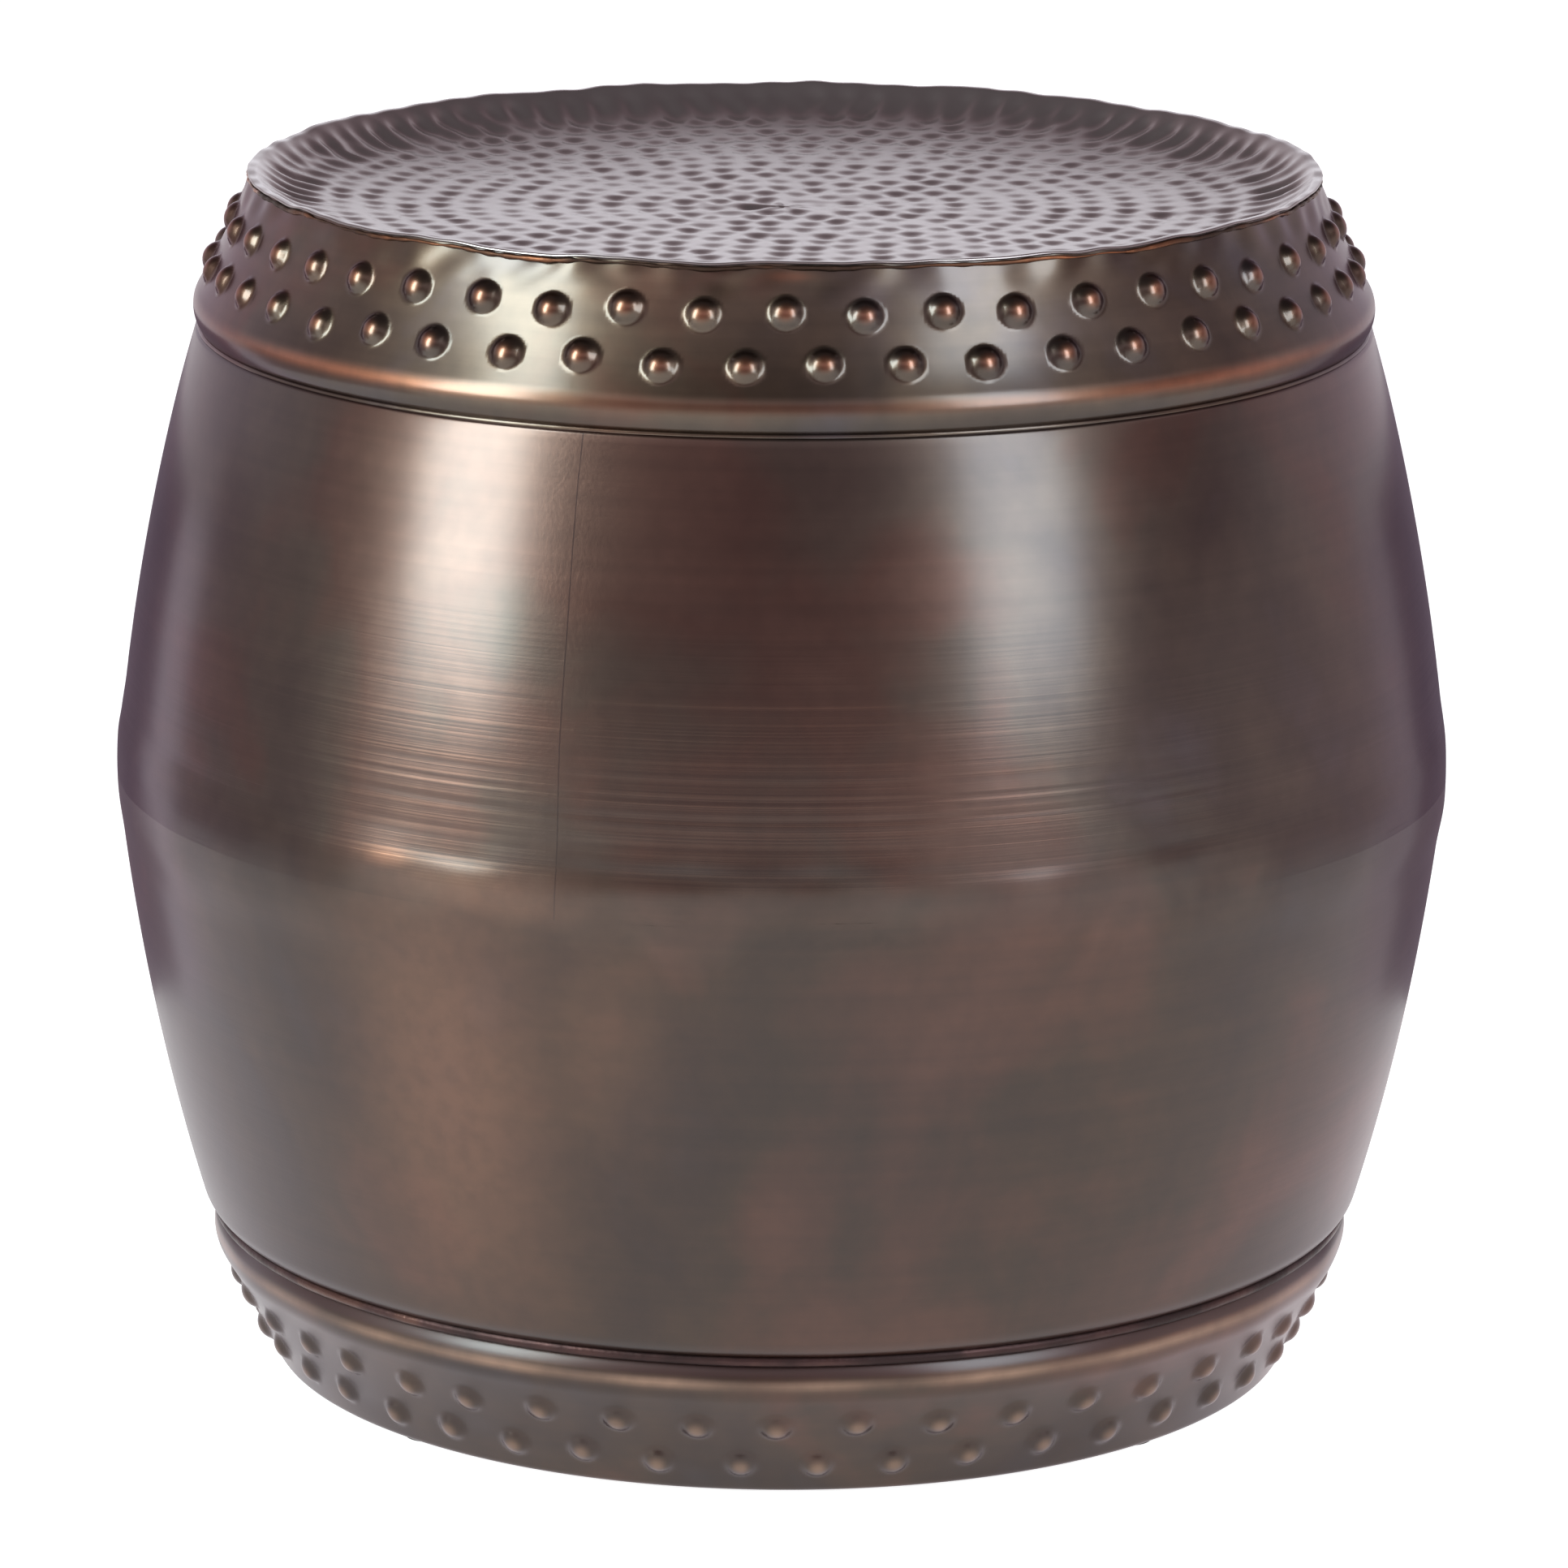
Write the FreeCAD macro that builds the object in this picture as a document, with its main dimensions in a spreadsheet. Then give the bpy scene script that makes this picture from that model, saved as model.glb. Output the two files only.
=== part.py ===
import FreeCAD, Part
import math
import os
import re

import Sketcher
from FreeCAD import Placement, Rotation, Vector

# Hammered drum side table, in millimetres. Z is up, the floor is z = 0 and the drum's axis is the Z axis.
# From the floor up: felt pads, a bossed foot band, a lower and an upper half shell welded at the belly,
# a bossed collar and a dished tray. Everything is thin sheet, brazed along its seams, and nothing moves.
# Each section lies in the XZ plane, with x as the radius from the drum's axis.

AXIS_POINT = Vector(0, 0, 0)
UP = Vector(0, 0, 1)
FULL_TURN = 360.0
FRONT = -90.0  # direction of -Y, the side that one boss of each upper row faces

# Driving dimensions: name, value, meaning.
SIZES = [
    ("sheet_gauge", 1.0, "thickness of the shells, the collar and the foot band"),
    ("tray_gauge", 1.2, "thickness of the tray"),
    ("seat_gap", 0.2, "clearance between formed pieces that bear on each other"),
    ("braze_gap", 0.7, "gap between two sheets that a braze run fills"),
    ("braze_clearance", 0.2, "curved side of a braze run to the sheet beside it"),
    ("pad_thickness", 1.2, "felt pad under the foot band"),
    ("pad_diameter", 16.0, "felt pad"),
    ("pad_count", 4, "felt pads, evenly spaced"),
    ("foot_radius", 182.6, "outermost point of the foot band's turned corner"),
    ("foot_corner", 2.0, "outer radius of the corner where the foot band turns in"),
    ("foot_flange", 20.0, "width of the turned-in flange that the pads are stuck to"),
    ("foot_bead_height", 44.0, "flange underside to the crest of the foot bead"),
    ("foot_bead_radius", 203.0, "crest of the foot bead from the axis"),
    ("foot_bead_curve", 12.0, "section radius of the foot bead"),
    ("foot_spigot_inset", 2.7, "foot bead crest to the face of the spigot above it"),
    ("foot_spigot_length", 14.0, "part of the foot band that stands inside the lower shell"),
    ("foot_sweep", 200.0, "hollow sweep of the foot band's wall"),
    ("foot_boss_count", 44, "bosses in one row of the foot band"),
    ("foot_boss_diameter", 11.0, "boss of the foot band, across its base"),
    ("foot_boss_proud", 2.6, "boss of the foot band, base to tip"),
    ("foot_row_gap", 15.5, "height between the foot band's two rows"),
    ("lower_shell_height", 159.5, "turned-in edge of the lower shell to the belly"),
    ("upper_shell_height", 156.6, "belly to the rolled top edge of the upper shell"),
    ("belly_radius", 235.3, "edges of the two half shells at the belly"),
    ("shell_sweep", 800.0, "section radius of each half shell"),
    ("turn_curve", 12.0, "section radius where the lower shell turns in"),
    ("turn_angle", 61.0, "how far below level the lower shell's turn ends"),
    ("turn_seat", 1.9, "top of the foot bead to the lower shell's edge"),
    ("mouth_radius", 206.2, "outermost point of the upper shell's rolled edge"),
    ("edge_roll", 1.8, "outer radius of the rolled edge"),
    ("edge_return", 6.0, "length of the rolled edge's inner leg"),
    ("weld_root", 1.6, "gap between the half shells that the belly weld fills"),
    ("weld_crown", 0.4, "how far the ground weld stands proud of the belly"),
    ("hoop_gauge", 1.5, "thickness of the hoop behind the belly weld"),
    ("hoop_width", 22.0, "width of the hoop behind the belly weld"),
    ("bead_proud", 0.2, "collar bead crest beyond the shell's rolled edge"),
    ("bead_curve", 11.0, "section radius of the collar bead"),
    ("collar_height", 46.4, "centre of the collar bead to the collar's top edge"),
    ("collar_spigot_length", 12.0, "part of the collar that stands inside the upper shell"),
    ("collar_sweep", 200.0, "hollow sweep of the collar's wall"),
    ("collar_boss_count", 46, "bosses in one row of the collar"),
    ("collar_boss_diameter", 12.0, "boss of the collar, across its base"),
    ("collar_boss_proud", 3.8, "boss of the collar, base to tip"),
    ("collar_row_gap", 15.4, "height between the collar's two rows"),
    ("collar_row_drop", 3.4, "middle of the collar's wall down to the middle of its rows"),
    ("rim_radius", 187.3, "outer edge of the tray's lip"),
    ("lip_overhang", 1.2, "tray lip beyond the collar's top edge"),
    ("lip_width", 2.0, "flat top of the tray's lip"),
    ("lip_curve", 3.0, "radius of the roll from the lip into the tray"),
    ("tray_depth", 15.0, "lip to the middle of the tray"),
    ("tray_wall_run", 42.0, "lip edge to the foot of the tray's curved wall"),
    ("tray_floor_sag", 1.6, "fall of the tray's floor to its middle"),
    ("rim_braze_width", 1.0, "braze run under the lip, across"),
    ("rim_braze_drop", 1.6, "braze run under the lip, down the collar"),
    ("brace_width", 25.0, "flat bar of the cross brace"),
    ("brace_thickness", 4.0, "flat bar of the cross brace"),
]

# Places worked out from the sizes: name, formula.
PLACES = [
    ("foot_corner_r", "foot_radius - foot_corner"),
    ("foot_corner_z", "pad_thickness + foot_corner"),
    ("pad_circle", "foot_radius - foot_corner - (foot_flange - foot_corner) / 2"),
    ("foot_bead_r", "foot_bead_radius - foot_bead_curve"),
    ("foot_bead_z", "pad_thickness + foot_bead_height"),
    ("foot_spigot_r", "foot_bead_radius - foot_spigot_inset"),
    ("foot_spigot_z", "foot_bead_z + sqrt(foot_bead_curve^2 - (foot_spigot_r - foot_bead_r)^2)"),
    ("turn_end_r", "foot_spigot_r + braze_gap + sheet_gauge * cos(turn_angle)"),
    ("turn_end_z", "foot_spigot_z + turn_seat"),
    ("turn_r", "turn_end_r - turn_curve * cos(turn_angle)"),
    ("turn_z", "turn_end_z + turn_curve * sin(turn_angle)"),
    ("belly_z", "turn_end_z + lower_shell_height"),
    ("lower_edge_z", "belly_z - weld_root / 2"),
    ("upper_edge_z", "belly_z + weld_root / 2"),
    ("roll_r", "mouth_radius - edge_roll"),
    ("roll_z", "belly_z + upper_shell_height - edge_roll"),
    ("return_r", "mouth_radius - 2 * edge_roll"),
    ("spigot_r", "return_r - braze_gap"),
    ("bead_r", "mouth_radius + bead_proud - bead_curve"),
    ("bead_z", "roll_z + sqrt((bead_curve + edge_roll + seat_gap)^2 - (roll_r - bead_r)^2)"),
    ("spigot_z", "bead_z - sqrt(bead_curve^2 - (spigot_r - bead_r)^2)"),
    ("collar_top_r", "rim_radius - lip_overhang"),
    ("collar_top_z", "bead_z + collar_height"),
    ("rim_z", "collar_top_z + tray_gauge"),
    ("lip_r", "rim_radius - lip_width"),
    ("lip_z", "rim_z - lip_curve"),
    ("tray_floor_r", "rim_radius - tray_wall_run"),
    ("tray_middle_z", "rim_z - tray_depth"),
    ("tray_floor_z", "tray_middle_z + tray_floor_sag"),
    ("tray_floor_curve", "(tray_floor_r^2 + tray_floor_sag^2) / (2 * tray_floor_sag)"),
    ("tray_tilt", "asin(tray_floor_r / tray_floor_curve)"),
    ("tray_reach_r", "tray_floor_r - lip_r"),
    ("tray_reach_z", "tray_floor_z - lip_z"),
    ("tray_reach_up", "tray_reach_z * cos(tray_tilt) - tray_reach_r * sin(tray_tilt)"),
    ("tray_curve", "(tray_reach_r^2 + tray_reach_z^2 - lip_curve^2) / (2 * (lip_curve - tray_reach_up))"),
    ("tray_curve_r", "tray_floor_r - tray_curve * sin(tray_tilt)"),
    ("tray_curve_z", "tray_floor_z + tray_curve * cos(tray_tilt)"),
    ("brace_top_z", "tray_middle_z - tray_gauge - seat_gap"),
]

HOME = {name: "sizes." + name for name, value, meaning in SIZES}


def in_sheet(formula):
    """A formula as the sheet of places reads it: sizes by their sheet's name, places by their own."""
    return re.sub(r"[a-z_]+", lambda word: HOME.get(word.group(), word.group()), formula)


def arc_centre(name, near, near_reach, far, far_reach, side):
    """Places the centre that lies near_reach from one point and far_reach from another.

    side is 1 where the centre is left of the way from near to far, and -1 where it is right of it."""
    near_r, near_z = near
    far_r, far_z = far
    step_r, step_z = "(%s - (%s))" % (far_r, near_r), "(%s - (%s))" % (far_z, near_z)
    span, along, off = name + "_span", name + "_along", name + "_off"
    return [
        (span, "sqrt(%s^2 + %s^2)" % (step_r, step_z)),
        (along, "((%s)^2 - (%s)^2 + %s^2) / (2 * %s)" % (near_reach, far_reach, span, span)),
        (off, "%d * sqrt((%s)^2 - %s^2)" % (side, near_reach, along)),
        (name + "_r", "%s + (%s * %s - %s * %s) / %s" % (near_r, along, step_r, off, step_z, span)),
        (name + "_z", "%s + (%s * %s + %s * %s) / %s" % (near_z, along, step_z, off, step_r, span)),
    ]


PLACES += arc_centre(
    "foot_wall", ("foot_corner_r", "foot_corner_z"), "foot_sweep + foot_corner",
    ("foot_bead_r", "foot_bead_z"), "foot_sweep + foot_bead_curve", -1)
PLACES += arc_centre(
    "lower_wall", ("belly_radius", "lower_edge_z"), "shell_sweep",
    ("turn_r", "turn_z"), "shell_sweep - turn_curve", -1)
PLACES += arc_centre(
    "upper_wall", ("belly_radius", "upper_edge_z"), "shell_sweep",
    ("roll_r", "roll_z"), "shell_sweep - edge_roll", 1)
PLACES += arc_centre(
    "collar_wall", ("collar_top_r", "collar_top_z"), "collar_sweep",
    ("bead_r", "bead_z"), "collar_sweep + bead_curve", 1)


def between(name, start, end, share):
    """Places the point at a share of the way from one point to another."""
    return [
        (name + "_r", "%s + (%s - %s) * (%s)" % (start[0], end[0], start[0], share)),
        (name + "_z", "%s + (%s - %s) * (%s)" % (start[1], end[1], start[1], share)),
    ]


def place(name):
    """The radius and height of a named place."""
    return name + "_r", name + "_z"


# Where two curves of a section meet without a corner.
PLACES += between(
    "foot_low", place("foot_corner"), place("foot_wall"), "foot_corner / (foot_corner + foot_sweep)")
PLACES += between(
    "foot_high", place("foot_bead"), place("foot_wall"), "foot_bead_curve / (foot_bead_curve + foot_sweep)")
PLACES += between("turn_start", place("lower_wall"), place("turn"), "shell_sweep / (shell_sweep - turn_curve)")
PLACES += between("roll_start", place("upper_wall"), place("roll"), "shell_sweep / (shell_sweep - edge_roll)")
PLACES += between("collar_low", place("bead"), place("collar_wall"), "bead_curve / (bead_curve + collar_sweep)")
PLACES += between("tray_high", place("tray_curve"), place("lip"), "tray_curve / (tray_curve + lip_curve)")
# The inner corners of the two half shells at the belly, and of the lower shell's turned-in edge.
PLACES += between(
    "lower_inner", ("belly_radius", "lower_edge_z"), place("lower_wall"), "sheet_gauge / shell_sweep")
PLACES += between(
    "upper_inner", ("belly_radius", "upper_edge_z"), place("upper_wall"), "sheet_gauge / shell_sweep")
PLACES += between("turn_inner", place("turn_end"), place("turn"), "sheet_gauge / turn_curve")
PLACES += [
    ("shell_bore", "shell_sweep - sheet_gauge - seat_gap"),
    ("hoop_top_z", "belly_z + hoop_width / 2"),
    ("hoop_low_z", "belly_z - hoop_width / 2"),
    ("hoop_top_r", "upper_wall_r + sqrt(shell_bore^2 - (hoop_top_z - upper_wall_z)^2)"),
    ("hoop_low_r", "lower_wall_r + sqrt(shell_bore^2 - (hoop_low_z - lower_wall_z)^2)"),
    ("hoop_mid_r", "upper_wall_r + sqrt(shell_bore^2 - (belly_z - upper_wall_z)^2)"),
    ("weld_crown_curve", "(weld_root^2 / 4 + weld_crown^2) / (2 * weld_crown)"),
    ("weld_crown_r", "belly_radius + weld_crown - weld_crown_curve"),
    ("rim_braze_z", "collar_top_z - rim_braze_drop"),
    ("rim_braze_reach", "collar_sweep - braze_clearance"),
    ("rim_braze_r", "collar_wall_r - sqrt(rim_braze_reach^2 - (rim_braze_z - collar_wall_z)^2)"),
    ("rim_braze_top_r", "collar_wall_r - sqrt(rim_braze_reach^2 - (collar_top_z - collar_wall_z)^2)"),
    ("collar_rows_z", "(collar_low_z + collar_top_z) / 2 - collar_row_drop"),
    ("foot_rows_z", "(foot_low_z + foot_high_z) / 2"),
    ("brace_reach", "collar_sweep + sheet_gauge + seat_gap"),
    ("brace_low_z", "brace_top_z - brace_thickness"),
    ("brace_top_r", "collar_wall_r - sqrt(brace_reach^2 - (brace_top_z - collar_wall_z)^2)"),
    ("brace_low_r", "collar_wall_r - sqrt(brace_reach^2 - (brace_low_z - collar_wall_z)^2)"),
]

document = FreeCAD.newDocument("drum_side_table")


def fill_sheet(name, rows):
    """A sheet with one aliased cell per row, the meaning or formula beside it."""
    sheet = document.addObject("Spreadsheet::Sheet", name)
    for line, (alias, content) in enumerate(rows, start=1):
        sheet.set("A%d" % line, alias)
        sheet.set("B%d" % line, content)
        sheet.setAlias("B%d" % line, alias)
    document.recompute()
    return sheet


sizes = fill_sheet("sizes", [(name, str(value)) for name, value, meaning in SIZES])
places = fill_sheet("places", [(name, "=" + in_sheet(formula)) for name, formula in PLACES])
HOME.update({name: "places." + name for name, formula in PLACES})


def value(formula):
    """The number that a formula of sizes and places gives."""
    return float(sizes.evalExpression(in_sheet(formula)))


def point(r_formula, z_formula):
    """A point of a section, in the sketch's own plane."""
    return Vector(value(r_formula), value(z_formula), 0)


class Arc:
    """The shorter arc between two corners of a section, about a placed centre."""

    def __init__(self, radius, centre):
        self.radius = radius
        self.centre = centre


def shorter_arc(start, end, centre):
    """The arc of under half a turn between two points, drawn anticlockwise as sketches hold it."""
    if (start - centre).cross(end - centre).z < 0:
        start, end = end, start
    middle = centre + ((start + end) * 0.5 - centre).normalize() * (start - centre).Length
    return Part.Arc(start, middle, end)


def draw(sketch, path, closed):
    """Draws lines and arcs through the path's corners and binds every corner and radius to the sheets."""
    corners = [entry for entry in path if not isinstance(entry, Arc)]
    ends = []
    bends = {}
    for entry in path:
        if isinstance(entry, Arc):
            bends[len(ends)] = entry
        else:
            ends.append(point(*entry))
    legs = len(corners) if closed else len(corners) - 1
    marks = []
    for leg in range(legs):
        start, end = ends[leg], ends[(leg + 1) % len(ends)]
        bend = bends.get(leg + 1)
        if bend is None:
            index = sketch.addGeometry(Part.LineSegment(start, end))
        else:
            index = sketch.addGeometry(shorter_arc(start, end, point(*bend.centre)))
            radius = sketch.addConstraint(Sketcher.Constraint("Radius", index, value(bend.radius)))
            sketch.setExpression("Constraints[%d]" % radius, in_sheet(bend.radius))
        drawn = sketch.Geometry[index]
        forward = (drawn.StartPoint - start).Length <= (drawn.EndPoint - start).Length
        marks.append((index, 1 if forward else 2, 2 if forward else 1))
    for leg in range(1, legs):
        sketch.addConstraint(Sketcher.Constraint(
            "Coincident", marks[leg - 1][0], marks[leg - 1][2], marks[leg][0], marks[leg][1]))
    if closed:
        sketch.addConstraint(Sketcher.Constraint(
            "Coincident", marks[-1][0], marks[-1][2], marks[0][0], marks[0][1]))
    for number, (r_formula, z_formula) in enumerate(corners):
        mark = (marks[number][0], marks[number][1]) if number < legs else (marks[-1][0], marks[-1][2])
        pin(sketch, mark, r_formula, "DistanceX")
        pin(sketch, mark, z_formula, "DistanceY")


def pin(sketch, mark, formula, direction):
    """Holds one corner at its radius or its height."""
    if formula == "0":
        sketch.addConstraint(Sketcher.Constraint("PointOnObject", mark[0], mark[1], -2))
        return
    number = sketch.addConstraint(Sketcher.Constraint(direction, -1, 1, mark[0], mark[1], value(formula)))
    sketch.setExpression("Constraints[%d]" % number, in_sheet(formula))


def sheet_section(name, path, gauge):
    """The section of a formed sheet: its outer line, thickened inwards by the gauge."""
    sketch = document.addObject("Sketcher::SketchObject", name + "_line")
    sketch.Placement = Placement(AXIS_POINT, Rotation(Vector(1, 0, 0), 90))
    draw(sketch, path, closed=False)
    section = document.addObject("Part::Offset2D", name + "_section")
    section.Source = sketch
    section.Mode = "Skin"
    section.Fill = True
    section.setExpression("Value", in_sheet(gauge))
    document.recompute()
    return section


def spun_sheet(name, path, gauge):
    """A formed sheet that runs all round the drum."""
    ring = document.addObject("Part::Revolution", name)
    ring.Source = sheet_section(name, path, gauge)
    ring.Axis = UP
    ring.Base = AXIS_POINT
    ring.Angle = FULL_TURN
    document.recompute()
    return ring


def origin_plane(body, role):
    """One of a body's own origin planes or axes."""
    return next(feature for feature in body.Origin.OriginFeatures if feature.Role == role)


def turned_ring(name, path):
    """A solid ring of one closed section, such as a braze run."""
    body = document.addObject("PartDesign::Body", name)
    sketch = body.newObject("Sketcher::SketchObject", name + "_section")
    sketch.AttachmentSupport = [(origin_plane(body, "XZ_Plane"), "")]
    sketch.MapMode = "FlatFace"
    draw(sketch, path, closed=True)
    turn = body.newObject("PartDesign::Revolution", name + "_turn")
    turn.Profile = sketch
    turn.ReferenceAxis = (sketch, ["V_Axis"])
    turn.Angle = FULL_TURN
    document.recompute()
    return body


def turned(shape, angle):
    """A copy of a shape, turned about the drum's axis."""
    copy = shape.copy()
    copy.rotate(AXIS_POINT, UP, angle)
    return copy


def dome(base, outward, radius, rise, depth):
    """A ball's cap that rises above base by rise and reaches depth below it."""
    across = Vector(-outward.z, 0, outward.x)
    centre = base + outward * (rise - radius)
    foot = base - outward * depth
    edge = foot + across * math.sqrt(radius ** 2 - (radius - rise - depth) ** 2)
    tip = base + outward * rise
    shoulder = centre + ((tip + edge) * 0.5 - centre).normalize() * radius
    outline = [Part.Arc(tip, shoulder, edge), Part.LineSegment(edge, foot), Part.LineSegment(foot, tip)]
    return Part.Face(Part.Wire([line.toShape() for line in outline])).revolve(foot, outward, FULL_TURN)


def boss_tools(wall, sweep, height, diameter, proud, gauge):
    """The metal that one boss adds outside its wall, and the hollow that the punch leaves inside."""
    reach = value(sweep)
    centre = Vector(value(wall + "_r"), 0, value(wall + "_z"))
    seat = Vector(centre.x - math.sqrt(reach ** 2 - (height - centre.z) ** 2), 0, height)
    outward = (centre - seat).normalize()
    ball = (diameter ** 2 / 4 + proud ** 2) / (2 * proud)
    metal = dome(seat, outward, ball, proud, gauge / 2)
    hollow = dome(seat, outward, ball - gauge, proud - gauge, 2 * gauge)
    return metal, hollow


def bossed_band(name, path, wall, sweep, rows_z, kind):
    """A formed band with two staggered rows of punched bosses.

    One pitch of the band is punched, and its copies are sewn into one skin. The upper row's boss stands in
    the middle of the pitch, and the lower row's on its two ends."""
    section = sheet_section(name, path, "sheet_gauge")
    count = int(value(kind + "_boss_count"))
    half_pitch = FULL_TURN / count / 2
    gauge, gap = value("sheet_gauge"), value(kind + "_row_gap")
    boss = [value(kind + "_boss_diameter"), value(kind + "_boss_proud"), gauge]
    upper_metal, upper_hollow = boss_tools(wall, sweep, value(rows_z) + gap / 2, *boss)
    lower_metal, lower_hollow = boss_tools(wall, sweep, value(rows_z) - gap / 2, *boss)
    bounds = section.Shape.BoundBox
    slice_face = Part.makePlane(2 * bounds.XMax, 2 * bounds.ZMax, AXIS_POINT, Vector(0, -1, 0), Vector(1, 0, 0))
    pie = turned(slice_face, -half_pitch).revolve(AXIS_POINT, UP, 2 * half_pitch)
    plain = turned(section.Shape, -half_pitch).revolve(AXIS_POINT, UP, 2 * half_pitch)
    metal = [upper_metal, turned(lower_metal, -half_pitch), turned(lower_metal, half_pitch)]
    hollow = [upper_hollow, turned(lower_hollow, -half_pitch), turned(lower_hollow, half_pitch)]
    punched = plain.fuse(metal).cut(hollow).common(pie)
    ends = [turned(Part.Vertex(0, 1, 0), side * half_pitch).Point for side in (-1, 1)]
    skin = [face for face in punched.Faces if not lies_on_end(face, ends)]
    copies = [turned(face, FRONT + number * 2 * half_pitch) for number in range(count) for face in skin]
    band = document.addObject("Part::Feature", name)
    band.Shape = Part.makeSolid(Part.makeShell(copies)).removeSplitter()
    return band


def lies_on_end(face, normals):
    """Whether a face of one pitch is a cut end, which its neighbour covers."""
    flat = isinstance(face.Surface, Part.Plane)
    return flat and any(abs(face.CenterOfMass.dot(normal)) < 1e-6 for normal in normals)


def foot_band():
    """Turned-in flange, hollow wall with two rows of bosses, bead, and a spigot inside the lower shell."""
    path = [
        ("foot_corner_r - foot_flange + foot_corner", "pad_thickness"),
        ("foot_corner_r", "pad_thickness"),
        Arc("foot_corner", place("foot_corner")),
        place("foot_low"),
        Arc("foot_sweep", place("foot_wall")),
        place("foot_high"),
        Arc("foot_bead_curve", place("foot_bead")),
        place("foot_spigot"),
        ("foot_spigot_r", "foot_spigot_z + foot_spigot_length"),
    ]
    return bossed_band("foot_band", path, "foot_wall", "foot_sweep", "foot_rows_z", "foot")


def collar():
    """Spigot inside the upper shell, bead, and a hollow wall with two rows of bosses up to the tray."""
    path = [
        ("spigot_r", "roll_z - collar_spigot_length"),
        place("spigot"),
        Arc("bead_curve", place("bead")),
        place("collar_low"),
        Arc("collar_sweep", place("collar_wall")),
        place("collar_top"),
    ]
    return bossed_band("collar_band", path, "collar_wall", "collar_sweep", "collar_rows_z", "collar")


def lower_shell():
    """Lower half of the drum, from its turned-in edge up to the belly."""
    return spun_sheet("lower_shell", [
        place("turn_end"),
        Arc("turn_curve", place("turn")),
        place("turn_start"),
        Arc("shell_sweep", place("lower_wall")),
        ("belly_radius", "lower_edge_z"),
    ], "sheet_gauge")


def upper_shell():
    """Upper half of the drum, from the belly up to its rolled edge."""
    return spun_sheet("upper_shell", [
        ("belly_radius", "upper_edge_z"),
        Arc("shell_sweep", place("upper_wall")),
        place("roll_start"),
        Arc("edge_roll", place("roll")),
        ("return_r", "roll_z"),
        ("return_r", "roll_z - edge_return"),
    ], "sheet_gauge")


def belly_hoop():
    """Hoop behind the belly weld, creased to lie against both half shells."""
    return spun_sheet("belly_hoop", [
        place("hoop_low"),
        ("hoop_mid_r", "belly_z"),
        place("hoop_top"),
    ], "hoop_gauge")


def tray():
    """Dished top: shallow floor, curved wall and a lip that lies on the collar."""
    return spun_sheet("hammered_tray", [
        ("rim_radius", "rim_z"),
        ("lip_r", "rim_z"),
        Arc("lip_curve", place("lip")),
        place("tray_high"),
        Arc("tray_curve", place("tray_curve")),
        place("tray_floor"),
        Arc("tray_floor_curve", ("0", "tray_middle_z + tray_floor_curve")),
        ("0", "tray_middle_z"),
    ], "tray_gauge")


def braze_and_weld():
    """The filler metal that shows or hides in the four seams."""
    turned_ring("rim_braze", [
        ("rim_braze_top_r", "collar_top_z"),
        ("collar_top_r + rim_braze_width", "collar_top_z"),
        place("rim_braze"),
        Arc("rim_braze_reach", place("collar_wall")),
    ])
    turned_ring("shoulder_braze", [
        ("spigot_r + braze_clearance", "roll_z - edge_return"),
        ("return_r - braze_clearance", "roll_z - edge_return"),
        ("return_r - braze_clearance", "roll_z"),
        ("spigot_r + braze_clearance", "roll_z"),
    ])
    turned_ring("belly_weld", [
        place("lower_inner"),
        ("belly_radius", "lower_edge_z"),
        Arc("weld_crown_curve", ("weld_crown_r", "belly_z")),
        ("belly_radius", "upper_edge_z"),
        place("upper_inner"),
    ])
    turned_ring("foot_braze", [
        ("foot_spigot_r + braze_clearance", "turn_end_z - turn_seat / 2"),
        place("turn_end"),
        place("turn_inner"),
        ("foot_spigot_r + braze_clearance", "turn_inner_z"),
    ])


def box(name, length, width, height, low_z):
    """A box centred on the drum's axis."""
    block = document.addObject("Part::Box", name)
    block.setExpression("Length", in_sheet(length))
    block.setExpression("Width", in_sheet(width))
    block.setExpression("Height", in_sheet(height))
    block.setExpression("Placement.Base.x", in_sheet("-(%s) / 2" % length))
    block.setExpression("Placement.Base.y", in_sheet("-(%s) / 2" % width))
    block.setExpression("Placement.Base.z", in_sheet(low_z))
    return block


def joined(kind, name, base, tool):
    """A boolean of two objects."""
    result = document.addObject(kind, name)
    result.Base = base
    result.Tool = tool
    return result


def brace_bars():
    """Two flat bars, halved across each other under the tray, with their ends cut to the collar's wall."""
    room = turned_ring("brace_room", [
        ("0", "brace_low_z"),
        place("brace_low"),
        Arc("brace_reach", place("collar_wall")),
        place("brace_top"),
        ("0", "brace_top_z"),
    ])
    full, across, thick = "2 * brace_low_r + 2 * brace_width", "brace_width", "brace_thickness"
    notch = "brace_width + 2 * seat_gap"
    half = "brace_thickness / 2"
    for name, length, width, notch_z in (
            ("brace_bar_over", full, across, "brace_low_z"),
            ("brace_bar_under", across, full, "brace_top_z - " + half)):
        bar = box(name + "_blank", length, width, thick, "brace_low_z")
        lap = box(name + "_lap", notch, notch, half, notch_z)
        fitted = joined("Part::Common", name + "_fitted", bar, room)
        joined("Part::Cut", name, fitted, lap)
    document.recompute()


def floor_pads():
    """Felt pads under the foot band's flange, midway between the brace bars."""
    count = int(value("pad_count"))
    pads = []
    for number in range(count):
        angle = "360 * %d / pad_count + 180 / pad_count" % number
        pad = document.addObject("Part::Cylinder", "pad_%d" % (number + 1))
        pad.setExpression("Radius", in_sheet("pad_diameter / 2"))
        pad.setExpression("Height", in_sheet("pad_thickness"))
        pad.setExpression("Placement.Base.x", in_sheet("pad_circle * cos(%s)" % angle))
        pad.setExpression("Placement.Base.y", in_sheet("pad_circle * sin(%s)" % angle))
        pads.append(pad)
    group = document.addObject("Part::Compound", "floor_pads")
    group.Links = pads
    document.recompute()


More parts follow.
